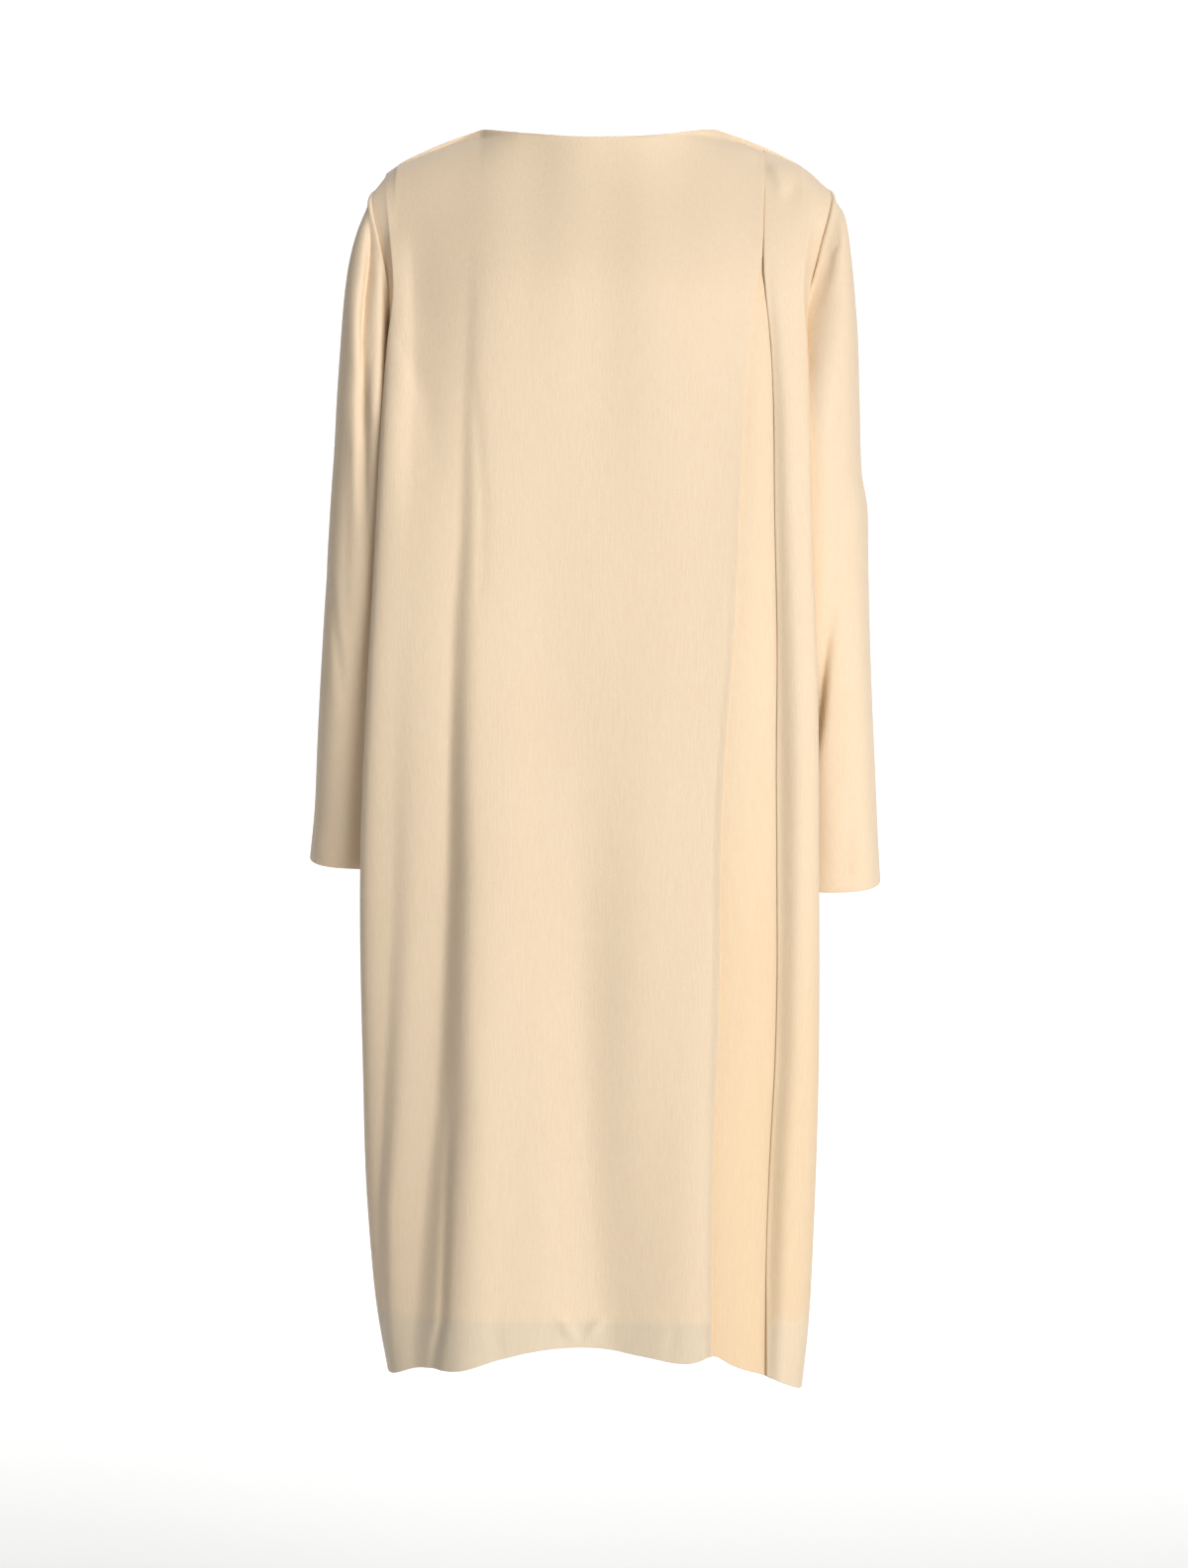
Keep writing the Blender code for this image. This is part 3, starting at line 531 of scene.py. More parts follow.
@dataclass(frozen=True)
class Crepe:
    """Polyester crepe, woven of hard-twisted yarn and dyed in the piece.

    The twist pulls the cloth into fine upright crinkles, which give the eye a dry, matte
    face with a soft sheen at a slant. Real crinkles are about 1 mm wide and 5 mm long; here
    they are drawn about twice that, because finer ones would not show in the render. The
    colour darkens where the crinkles and the yarn's grain dip, a painted shade, and changes
    in slow random patches of tone. Light that comes through or off a second layer is painted
    into the colour too: the hem, where the cloth lies double, is painted paler and the inside
    of the pleat warmer.
    """

    name: str = "crepe"
    face: str = "#E9D3B5"
    # Painted shade in the crinkle's hollows, mixed with slow random tone
    hollow_shade_and_tone: str = "#E2CAAB"
    # Painted warmth of light through the pleat's layers
    painted_pleat_warmth: str = "#FFF8EC"
    # Painted light of the hem, where the cloth lies double: paler
    painted_hem_light: str = "#F6FBFF"
    # Attribute that says where light through a second layer is painted
    layers: str = "layers"
    crinkle_width: float = 2.0 * MM
    crinkle_length: float = 16.0 * MM
    crinkle_height: float = 0.20 * MM
    yarn: float = 0.9 * MM
    patch: float = 140.0 * MM
    patch_tones: tuple[float, float] = (0.35, 0.65)
    tone_range: tuple[float, float] = (1.15, 1.85)
    roughness: float = 0.68
    sheen: float = 0.22
    sheen_roughness: float = 0.45
    ior: float = 1.46

    def material(self) -> bpy.types.Material:
        """Build the material.

        Returns:
            Crepe with its crinkle, yarn grain and slow change of tone.
        """
        material = bpy.data.materials.new(self.name)
        material.use_nodes = True
        tree = material.node_tree
        place = add_node(tree, "ShaderNodeTexCoord").outputs["Object"]
        across, down = 1 / self.crinkle_width, 1 / self.crinkle_length
        stretched = add_node(
            tree, "ShaderNodeMapping", {"Vector": place, "Scale": (across, across, down)}
        )
        noises = []
        # Where the crinkle, the yarn's grain and the slow tone are read, and how fine they are
        for where, scale, detail, rough in (
            (stretched.outputs[0], 1.0, 3.0, 0.62),
            (place, 1 / self.yarn, 2.0, 0.7),
            (place, 1 / self.patch, 1.0, 0.4),
        ):
            links = {"Vector": where, "Scale": scale, "Detail": detail, "Roughness": rough}
            noises.append(add_node(tree, "ShaderNodeTexNoise", links).outputs["Fac"])
        crinkle, grain, patch = noises
        least, most = self.patch_tones
        links = {"Value": patch, "To Min": least, "To Max": most}
        faint = add_node(tree, "ShaderNodeMapRange", links)
        links = {"Value": crinkle, "Value_001": grain}
        fibres = add_node(tree, "ShaderNodeMath", links, operation="ADD")
        links = {"Value": fibres.outputs[0], "Value_001": faint.outputs["Result"]}
        mixed = add_node(tree, "ShaderNodeMath", links, operation="ADD")
        least, most = self.tone_range
        links = {"Value": mixed.outputs[0], "From Min": least, "From Max": most}
        share = add_node(tree, "ShaderNodeMapRange", links)
        # Painted shade: the colour darkens where the crinkle's and the grain's bumps dip, and the
        # patches add slow random tone
        links = {
            "Factor_Float": share.outputs["Result"],
            "A_Color": linear(self.hollow_shade_and_tone),
            "B_Color": linear(self.face),
        }
        colour = add_node(tree, "ShaderNodeMix", links, data_type="RGBA")
        # Painted light from the second layer: the pleat's inside is tinted warmer and the hem paler
        layers = add_node(tree, "ShaderNodeAttribute", attribute_name=self.layers).outputs["Fac"]
        tone_out = next(o for o in colour.outputs if o.enabled)
        for tint, full in ((self.painted_pleat_warmth, 1.0), (self.painted_hem_light, -1.0)):
            part = add_node(tree, "ShaderNodeMapRange", {"Value": layers, "From Max": full})
            links = {
                "Factor_Float": part.outputs["Result"],
                "A_Color": tone_out,
                "B_Color": linear(tint),
            }
            tinted = add_node(
                tree, "ShaderNodeMix", links, data_type="RGBA", blend_type="MULTIPLY"
            )
            tone_out = next(o for o in tinted.outputs if o.enabled)
        links = {"Height": fibres.outputs[0], "Distance": self.crinkle_height, "Strength": 1.0}
        bump = add_node(tree, "ShaderNodeBump", links)
        shader = tree.nodes["Principled BSDF"]
        tree.links.new(tone_out, shader.inputs["Base Color"])
        tree.links.new(bump.outputs["Normal"], shader.inputs["Normal"])
        for socket, value in (
            ("Roughness", self.roughness),
            ("Metallic", 0.0),
            ("IOR", self.ior),
            ("Sheen Weight", self.sheen),
            ("Sheen Roughness", self.sheen_roughness),
        ):
            shader.inputs[socket].default_value = value
        return material


@dataclass(frozen=True)
class StudioPaint:
    """Matte white paint, rolled on: it gives the eye a plain pale ground with no gloss."""

    name: str = "studio_paint"
    colour: str = "#F7F7F6"
    roughness: float = 0.9

    def material(self) -> bpy.types.Material:
        """Build the material.

        Returns:
            Plain matte white.
        """
        material = bpy.data.materials.new(self.name)
        material.use_nodes = True
        shader = material.node_tree.nodes["Principled BSDF"]
        shader.inputs["Base Color"].default_value = linear(self.colour)
        shader.inputs["Roughness"].default_value = self.roughness
        return material


def inward_of(grid: np.ndarray, closed: bool, sign: float) -> np.ndarray:
    """Find the way to the wrong side of a cloth at each point of its grid.

    Args:
        grid: Points by row and column.
        closed: Whether the columns go all round.
        sign: Turns the grid's own normal to the wrong side.

    Returns:
        Unit vectors by row and column.
    """
    if closed:
        wide = np.concatenate([grid[:, -1:], grid, grid[:, :1]], axis=1)
        across = (wide[:, 2:] - wide[:, :-2]) / 2
    else:
        across = np.gradient(grid, axis=1)
    normal = np.cross(across, np.gradient(grid, axis=0)) * sign
    return normal / np.maximum(np.linalg.norm(normal, axis=2, keepdims=True), TINY)


def turn_in(
    grid: np.ndarray, inward: np.ndarray, rows: range, closed_end: int
) -> list[np.ndarray]:
    """Turn an allowance to the inside of a cloth's first or last edge.

    Args:
        grid: Points of the cloth by row and column.
        inward: Unit vectors to its wrong side.
        rows: Rows that the allowance lies behind, from its raw edge to the turn.
        closed_end: Row at the turn.

    Returns:
        Rows of the allowance from its raw edge to the roll at the turn.
    """
    made = [grid[k] + inward[k] * LAYER for k in rows]
    beyond = grid[closed_end] - grid[rows[-1]]
    beyond /= np.maximum(np.linalg.norm(beyond, axis=1, keepdims=True), TINY)
    bulge = beyond * LAYER / 2
    for deep, out in TURN_ROLL:
        made.append(grid[closed_end] + inward[closed_end] * LAYER * deep + bulge * out)
    return made


def put(
    name: str,
    data: bpy.types.ID,
    place: tuple[float, float, float] = (0.0, 0.0, 0.0),
    turn: tuple[float, float, float] = (0.0, 0.0, 0.0),
) -> bpy.types.Object:
    """Put an object into the scene.

    Args:
        name: Name of the object.
        data: Its mesh, light or camera.
        place: Where it stands.
        turn: How it is turned, in degrees about X, Y and Z.

    Returns:
        The object.
    """
    made = bpy.data.objects.new(name, data)
    made.location = place
    made.rotation_euler = [math.radians(angle) for angle in turn]
    bpy.context.scene.collection.objects.link(made)
    return made


def make_cloth(
    name: str, grid: np.ndarray, closed: bool, outward: bool, layers: np.ndarray | None = None
) -> bpy.types.Object:
    """Make a piece of cloth from a grid of its middle surface and thicken it.

    Args:
        name: Name of the piece.
        grid: Points by row and column.
        closed: Whether the columns go all round.
        outward: Whether the grid's own normals point to the right side.
        layers: How much painted light from the cloth's second layer each point gets: 1 inside the
            pleat, -1 in a hem.

    Returns:
        The piece.
    """
    rows, columns = grid.shape[:2]
    number = np.arange(rows * columns).reshape(rows, columns)
    if closed:
        number = np.concatenate([number, number[:, :1]], axis=1)
    corners = [number[:-1, :-1], number[:-1, 1:], number[1:, 1:], number[1:, :-1]]
    faces = np.stack([c.ravel() for c in corners], axis=1)
    faces = faces if outward else faces[:, ::-1]
    mesh = bpy.data.meshes.new(name)
    mesh.from_pydata(grid.reshape(-1, 3).tolist(), [], faces.tolist())
    mesh.shade_smooth()
    if layers is not None:
        tint = mesh.attributes.new(Crepe.layers, "FLOAT", "POINT")
        tint.data.foreach_set("value", layers.ravel())
    piece = put(name, mesh)
    wall = piece.modifiers.new("wall", "SOLIDIFY")
    wall.thickness = CLOTH
    wall.offset = 0.0
    wall.use_quality_normals = True
    return piece


@dataclass(frozen=True)
class Armhole:
    """Ring in which a sleeve meets the body, by degrees from the shoulder over the back."""

    middle: float = -0.1493
    half_height: float = 0.0982
    back: float = 0.057
    front: float = 0.056
    round: float = 2.5  # 2 is an ellipse, more is squarer
    tip_out: float = 0.012
    left_lower: float = 0.006  # The left shoulder tip lies this much further in

    @property
    def underarm(self) -> float:
        """Height of the ring's lowest point."""
        return self.middle - self.half_height

    def points(self, angles: np.ndarray, side: Side) -> np.ndarray:
        """Place points of the ring.

        Args:
            angles: Degrees from the shoulder over the back.
            side: Side of the dress.

        Returns:
            One point for each angle.
        """
        turn = np.radians(angles)
        reach = np.where(angles <= 180, self.back, self.front)
        top = ((1 + np.cos(turn)) / 2) ** 2
        lower = self.left_lower if side is Side.LEFT else 0.0
        x = side.value * (ARMHOLE_OUT.at("out", angles) - lower * top)
        y = -reach * signed_power(np.sin(turn), 2 / self.round)
        y = y + self.tip_out * (1 + np.cos(turn)) / 2
        z = self.middle + self.half_height * signed_power(np.cos(turn), 2 / self.round)
        return np.stack([x, y, z], axis=1)

    def rise(self, angles: np.ndarray) -> np.ndarray:
        """Share of the way up from the underarm to the shoulder at each angle."""
        return (1 + signed_power(np.cos(np.radians(angles)), 2 / self.round)) / 2


@dataclass(frozen=True)
class Yoke:
    """Neckline and shoulder seams that a panel hangs from."""

    drop: float
    out: float
    half: float = 0.104
    round: float = 2.2  # Power of the neckline's curve
    corner: float = 0.45  # The lower, the squarer it leaves the shoulder seam
    slope: float = 0.31
    curve: float = 1.04  # How the slope grows towards the shoulder tip
    tip: float = 0.200
    tip_drop: float = 0.009
    tip_power: int = 8
    tip_out: float = 0.012
    blades: float = -0.165  # Height from which the cloth hangs freely
    blend: float = 0.060
    blend_steps: int = 25
    slower: float = 0.5  # How much sooner it leaves the shoulders than the neckline
    edge_fade: float = 0.013

    def share(self, x: np.ndarray) -> np.ndarray:
        """How far inside the neckline a distance from the centre line is, 1 at the centre."""
        return np.maximum(0.0, 1 - (np.abs(x) / self.half) ** self.round)

    def softened(self, x: np.ndarray) -> tuple[np.ndarray, np.ndarray, np.ndarray]:
        """Blend the neckline's form out into the shoulders.

        Args:
            x: Distance from the centre line.

        Returns:
            Mean depth and height of the top edge round there, and how slowly the cloth
            leaves the top.
        """
        shifts = np.linspace(-self.blend, self.blend, self.blend_steps)
        edges = [self.edge(x + shift) for shift in shifts]
        depth = sum(edge[0] for edge in edges) / len(shifts)
        height = sum(edge[1] for edge in edges) / len(shifts)
        return depth, height, 1 - self.slower * ease(np.abs(x) / (2 * self.half))

    def edge(self, x: np.ndarray) -> tuple[np.ndarray, np.ndarray]:
        """Place the panel's top edge.

        Args:
            x: Distance from the centre line.

        Returns:
            Depth and height of the edge there.
        """
        past = np.clip(np.abs(x) - self.half, 0.0, self.tip - self.half)
        share = self.share(x)
        y = self.out * share ** self.corner + self.tip_out * past / self.half
        tip = self.tip_drop * (past / (self.tip - self.half)) ** self.tip_power
        z = -self.slope * past - self.curve * past ** 2 - tip - self.drop * share
        return y, z


@dataclass
class Panel:
    """One panel of the body, from the hem to the neckline and from seam to seam."""

    name: str
    facing: Facing
    shape: Sizes
    yoke: Yoke
    creases: tuple[Crease | Wander, ...]
    armhole: Armhole = Armhole()
    hem_rows: tuple[float, ...] = (0, 1, 2.5, 5, 8, 12, 16, 20, 22.5, 25)  # mm above the edge
    stitch_rows: tuple[float, ...] = (27, 29, 31, 33, 35, 37, 39, 41)
    allowance_rows: int = 5
    turn_up: float = -1.0405
    turn_up_edge: float = 0.0025
    lower_rows: int = 104
    upper_rows: int = 46
    side_steps: int = 14
    side_power: float = 1.4
    still_from: float = 0.92  # Above this share of the armhole the creases fade
    still_over: float = 0.08
    top_passes: int = 12
    slope_step: float = 1 * MM
    armpit: float = 0.09

    def depth(self, x: np.ndarray, z: np.ndarray) -> np.ndarray:
        """Place the smooth hang of the panel, before its creases.

        Args:
            x: Distance from the centre line.
            z: Height.

        Returns:
            Depth of the panel there.
        """
        left, right = self.shape.at("left", z), self.shape.at("right", z)
        half = np.where(x < 0, left, right)
        across = np.minimum(np.abs(x) / half, 1.0)
        edge = self.shape.at("edge", z)
        crown = 1 - across ** self.shape.at("round_x", z)
        crown = crown ** (1 / self.shape.at("round_y", z))
        hang = edge + (self.shape.at("centre", z) - edge) * crown
        top_y, top_z = self.yoke.edge(x)
        soft_y, soft_z, power = self.yoke.softened(x)

        def leave(height: np.ndarray) -> np.ndarray:
            """Depth of the cloth at a height as it leaves the yoke, without the edge's form."""
            down = np.clip((soft_z - height) / (soft_z - self.yoke.blades), 0.0, 1.0)
            return soft_y + (hang - soft_y) * (1 - (1 - down) ** 2) ** power

        near = np.exp(-np.maximum(top_z - z, 0.0) / self.yoke.edge_fade)
        return leave(z) + (top_y - leave(top_z)) * near

    def inward(self, x: np.ndarray, z: np.ndarray) -> np.ndarray:
        """Find the way into the dress from the smooth hang.

        Args:
            x: Distance from the centre line.
            z: Height.

        Returns:
            Unit vectors.
        """
        step = self.slope_step
        slope_x = (self.depth(x + step, z) - self.depth(x - step, z)) / (2 * step)
        slope_z = (self.depth(x, z) - self.depth(x, z - step)) / step
        normal = np.stack([-slope_x, np.ones(x.shape), -slope_z], axis=-1)
        normal *= -self.facing.value
        return normal / np.linalg.norm(normal, axis=-1, keepdims=True)

    def levels(self) -> tuple[np.ndarray, np.ndarray]:
        """Lay out the rows from the hem to the top.

        Returns:
            Share of the way from hem to underarm, and armhole angle, not a number below it.
        """
        length = self.armhole.underarm - LOWEST
        low = [height * MM / length for height in (*self.hem_rows, *self.stitch_rows)]
        rest = np.linspace(low[-1], 1.0, self.lower_rows + 2)[1:-1]
        angles = np.linspace(180.0, 0.0, self.upper_rows)
        share = np.concatenate([low, rest, np.ones(self.upper_rows)])
        angle = np.concatenate([np.full(len(low) + len(rest), np.nan), angles])
        return share, angle

    def heights(self, column: Column, hem: str) -> np.ndarray:
        """Place a column's points in height.

        Args:
            column: Column of the grid.
            hem: Column of the hem table to end on.

        Returns:
            Height of each row's point.
        """
        top_x, _ = column(np.zeros(1))
        for _ in range(self.top_passes):
            top_z = self.yoke.edge(top_x)[1]
            top_x, _ = column(top_z)
        hem_x, _ = column(np.full(1, LOWEST))
        hem_z = HEMS.at(hem, hem_x)
        share, angle = self.levels()
        under = self.armhole.underarm
        rise = self.armhole.rise(np.nan_to_num(angle))
        above = under + (top_z - under) * rise
        return np.where(np.isnan(angle), hem_z + (under - hem_z) * share, above)

    def seam_points(self, side: Side) -> np.ndarray:
        """Place the side seam and, above the underarm, this panel's half of the armhole.

        Args:
            side: Side of the dress.

        Returns:
            One point for each row.
        """
        share, angle = self.levels()
        name = side.name.lower()
        x = side.value * FRONT_SHAPE.at(name, LOWEST)
        hem_z = HEMS.at("back", x)
        z = hem_z + (self.armhole.underarm - hem_z) * share
        x = side.value * FRONT_SHAPE.at(name, z)
        seam = np.stack([x, FRONT_SHAPE.at("edge", z), z], axis=1)
        angle = angle if self.facing is Facing.BACK else 360 - angle
        ring = self.armhole.points(np.nan_to_num(angle), side)
        return np.where(np.isnan(angle)[:, None], seam, ring)

    def face(self, fraction: float) -> Column:
        """Column at a fraction of the panel's half width, negative on the left."""
        name = "left" if fraction < 0 else "right"
        return lambda z: (fraction * self.shape.at(name, z), np.zeros(z.shape))

    def surface(self) -> np.ndarray:
        """Build the panel's outer surface with its creases.

        Returns:
            Points by row and column.
        """
        raise NotImplementedError

    def press(self, grid: np.ndarray, inward: np.ndarray) -> np.ndarray:
        """Press the creases into a grid.

        Args:
            grid: Smooth points by row and column.
            inward: Unit vectors into the dress.

        Returns:
            The creased points. The top edge and the armholes keep their places.
        """
        rise = np.linspace(0.0, 1.0, self.upper_rows)
        fade = np.ones(len(grid))
        fade[-self.upper_rows:] = 1 - ease((rise - self.still_from) / self.still_over)
        depth = press_all(self.creases, grid[..., 0], grid[..., 2])
        reach = np.minimum(np.arange(grid.shape[1]), np.arange(grid.shape[1])[::-1])
        side = 1 - (1 - np.minimum(reach / self.side_steps, 1.0)) ** self.side_power
        return grid + inward * (depth * fade[:, None] * side)[..., None]

    def layered(self, outer: np.ndarray) -> np.ndarray:
        """Say where light through a second layer is painted into the cloth's colour.

        Args:
            outer: The panel's outer surface.

        Returns:
            For each point -1 in the hem, 1 inside a pleat and 0 elsewhere.
        """
        return -ease((self.turn_up - outer[..., 2]) / self.turn_up_edge)

    def build(self) -> bpy.types.Object:
        """Build the panel's mesh with its hem and its seam allowances turned in.

        Returns:
            The piece.
        """
        outer = self.surface()
        sign = -1.0 if self.facing is Facing.BACK else 1.0
        inward = inward_of(outer, False, sign)
        last = len(self.hem_rows) - 1
        hem = turn_in(outer, inward, range(last, 0, -1), 0)
        end = len(outer) - 1
        top = turn_in(outer, inward, range(end - self.allowance_rows, end), end)
        grid = np.concatenate([np.stack(hem), outer, np.stack(top[::-1])])
        layers = np.pad(
            self.layered(outer), ((len(hem), len(top)), (0, 0)), constant_values=((-1, 0), (0, 0))
        )
        piece = make_cloth(self.name, grid, False, self.facing is Facing.BACK, layers)
        LOG.info("%s: %d points", self.name, grid.shape[0] * grid.shape[1])
        return piece


@dataclass
class BackPanel(Panel):
    """Back of the dress, with the inverted pleat on the right."""

    face_steps: int = 58
    neck_steps: int = 62
    to_pleat_steps: int = 16
    right_steps: int = 26
    # Painted warmth of light through the pleat's layers, inside the pleat and beside it
    pleat_light_from: float = -0.45  # Below this height the pleat's inside is painted warmer, as light through its layers would warm it
    pleat_light_over: float = 0.50
    pleat_light_least: float = 0.35
    pleat_light_beside: float = 0.70
    roll_steps: int = 6
    underlay_steps: int = 14
    layer_steps: int = 4
    underlay_half: float = 0.030
    trimmed_half: float = 0.004
    trim_height: float = 0.060
    crowd: float = 0.8  # How closely the columns crowd towards the side
    neck_to_pleat: float = 0.90  # Share of the neckline's half at which the spacing changes

    def layers_reach(self, z: np.ndarray) -> np.ndarray:
        """Half width of the hidden layers, which are trimmed away towards the yoke's seam."""
        below = ease((-self.trim_height - z) / self.trim_height)
        return self.trimmed_half + (self.underlay_half - self.trimmed_half) * below

    def turned(self, fold: float, under: bool, turn: float) -> Column:
        """Column on the roll of one of the pleat's folds.

        Args:
            fold: -1 for the pleat's left half and 1 for its right half.
            under: Whether the fold is the hidden one at the underlay's edge.
            turn: Degrees round the roll, from -90 at its outer layer to 90.

        Returns:
            The column.
        """
        name = "left" if fold < 0 else "right"
        along, into = math.cos(math.radians(turn)), math.sin(math.radians(turn))

        def place(z: np.ndarray) -> tuple[np.ndarray, np.ndarray]:
            """X and depth of the layer at each height."""
            roll = PLEAT_FOLDS.at("roll", z)
            if under:
                middle = (PLEAT_FOLDS.at("left", z) + PLEAT_FOLDS.at("right", z)) / 2
                inner = middle + fold * (self.layers_reach(z) - roll)
                return inner + fold * roll * along, roll * (3 + into)
            edge = PLEAT_FOLDS.at(name, z)
            return edge + fold * roll * (1 - along), roll * (1 + into)
        return place

    def underlay(self, across: float) -> Column:
        """Column of the underlay.

        Args:
            across: Share of its half width from its middle, -1 to 1.

        Returns:
            The column.
        """
        def place(z: np.ndarray) -> tuple[np.ndarray, np.ndarray]:
            """X and depth of the layer at each height."""
            left, right = PLEAT_FOLDS.at("left", z), PLEAT_FOLDS.at("right", z)
            roll = PLEAT_FOLDS.at("roll", z)
            reach = (self.layers_reach(z) - roll) * across
            shown = np.clip(np.abs(reach) / np.maximum((right - left) / 2, TINY), 0.0, 1.0)
            bulge = PLEAT_FOLDS.at("bulge", z) * np.cos(shown * math.pi / 2) ** 2
            return (left + right) / 2 + reach, 4 * roll - bulge
        return place

    def between(self, first: Column, second: Column, fraction: float) -> Column:
        """Column on the way from one column to another.

        Args:
            first: Column that it starts from.
            second: Column that it goes to.
            fraction: Share of the way.

        Returns:
            The column.
        """
        def place(z: np.ndarray) -> tuple[np.ndarray, np.ndarray]:
            """X and depth of the layer at each height."""
            (x0, in0), (x1, in1) = first(z), second(z)
            return x0 + (x1 - x0) * fraction, in0 + (in1 - in0) * fraction
        return place

    def columns(self) -> list[Column]:
        """Lay out the columns between the panel's widest points.

        Returns:
            Columns from left to right, through the pleat's layers.
        """
        neck = self.yoke.half / float(self.shape.at("left", 0.0))
        edge_turn = math.asin(neck ** (1 / self.crowd))
        made = []
        for i in range(self.face_steps):
            turn = math.pi / 2 + (edge_turn - math.pi / 2) * i / self.face_steps
            made.append(self.face(-math.sin(turn) ** self.crowd))
        for i in range(self.neck_steps):
            made.append(self.face(neck * (-1 + (1 + self.neck_to_pleat) * i / self.neck_steps)))
        turns = np.linspace(-90.0, 90.0, self.roll_steps + 1).tolist()
        left = [self.turned(-1, False, turn) for turn in turns]
        under_left = [self.turned(-1, True, turn) for turn in turns]
        under_right = [self.turned(1, True, turn) for turn in turns[::-1]]
        right = [self.turned(1, False, turn) for turn in turns[::-1]]
        shares = [i / self.layer_steps for i in range(1, self.layer_steps)]
        edges = np.linspace(-1.0, 1.0, self.underlay_steps + 1)[1:-1].tolist()
        beside = self.face(self.yoke.half / self.shape.at("right", 0.0) * self.neck_to_pleat)
        for i in range(self.to_pleat_steps):
            made.append(self.between(beside, left[0], i / self.to_pleat_steps))
        made += left
        made += [self.between(left[-1], under_left[0], share) for share in shares]
        made += under_left + [self.underlay(across) for across in edges] + under_right
        made += [self.between(under_right[-1], right[0], share) for share in shares]
        made += right
        for i in range(1, self.right_steps + 1):
            made.append(self.between(right[-1], self.face(1.0), i / self.right_steps))
        return made

    def surface(self) -> np.ndarray:
        """Build the panel's outer surface with its creases.

        Returns:
            Points by row and column.
        """
        smooth, inward, layers = [], [], []
        for column in self.columns():
            z = self.heights(column, "back")
            x, layer = column(z)
            smooth.append(np.stack([x, self.depth(x, z), z], axis=1))
            inward.append(self.inward(x, z))
            layers.append(layer)
        smooth, inward = np.stack(smooth, axis=1), np.stack(inward, axis=1)
        left, right = self.stretch(smooth[:, 0], Side.LEFT), self.stretch(smooth[:, -1], Side.RIGHT)
        layer = np.stack(layers, axis=1)
        pleated = np.any(layer > 0, axis=0)
        grid = np.concatenate([left[:, ::-1], smooth, right], axis=1)
        steps = self.side_steps
        found = inward_of(grid, False, -1.0)
        found[:, steps:-steps][:, pleated] = inward[:, pleated]
        deep = np.pad(layer, ((0, 0), (steps, steps)))
        straight = np.zeros(grid.shape)
        straight[..., 1] = 1.0
        grid = self.press(grid, straight)
        return grid + found * deep[..., None]

    def layered(self, outer: np.ndarray) -> np.ndarray:
        """Say where light through a second layer is painted into the colour, in the pleat and
        beside it.

        Args:
            outer: The panel's outer surface.

        Returns:
            For each point -1 in the hem, up to 1 inside the pleat and less beside it.
        """
        layers = super().layered(outer)
        first = self.side_steps + self.face_steps + self.neck_steps + self.to_pleat_steps
        last = outer.shape[1] - self.side_steps - self.right_steps
        # Painted warmth inside the pleat and beside it, growing towards the hem
        lower = ease((self.pleat_light_from - outer[..., 2]) / self.pleat_light_over)
        layers[:, first:last] = self.pleat_light_least + (1 - self.pleat_light_least) * lower[:, first:last]
        layers[:, last:] += self.pleat_light_beside * lower[:, last:]
        return layers

    def stretch(self, widest: np.ndarray, side: Side) -> np.ndarray:
        """Carry the panel from its widest point round the corner to the seam.

        Args:
            widest: Points of the widest column.
            side: Side of the dress.

        Returns:
            Points by row and step, the last of them on the seam.
        """
        seam = self.seam_points(side)
        blend = 1 - ease((seam[:, 2] - self.armhole.underarm) / self.armpit)
        made = []
        for i in range(1, self.side_steps + 1):
            s = i / self.side_steps
            points = widest + (seam - widest) * s
            across = s + (float(ease(s)) - s) * blend
            points[:, 0] = widest[:, 0] + (seam[:, 0] - widest[:, 0]) * across
            made.append(points)
        return np.stack(made, axis=1)


@dataclass
class FrontPanel(Panel):
    """Plain front of the dress under its scooped neckline."""

    steps: int = 168
    side_steps: int = 8

    def columns(self) -> list[Column]:
        """Lay out the columns between the side seams.

        Returns:
            Columns from left to right.
        """
        neck = self.yoke.half / float(self.shape.at("left", 0.0))
        shoulder = self.steps // 4
        middle = self.steps - 2 * shoulder
        fractions = [-1 + (1 - neck) * i / shoulder for i in range(1, shoulder)]
        fractions += [-neck + 2 * neck * i / middle for i in range(middle)]
        fractions += [neck + (1 - neck) * i / shoulder for i in range(shoulder)]
        return [self.face(fraction) for fraction in fractions]

    def surface(self) -> np.ndarray:
        """Build the panel's outer surface with its creases.

        Returns:
            Points by row and column.
        """
        made = [self.seam_points(Side.LEFT)]
        for column in self.columns():
            z = self.heights(column, "front")
            x, _ = column(z)
            made.append(np.stack([x, self.depth(x, z), z], axis=1))
        made.append(self.seam_points(Side.RIGHT))
        grid = np.stack(made, axis=1)
        return self.press(grid, inward_of(grid, False, 1.0))


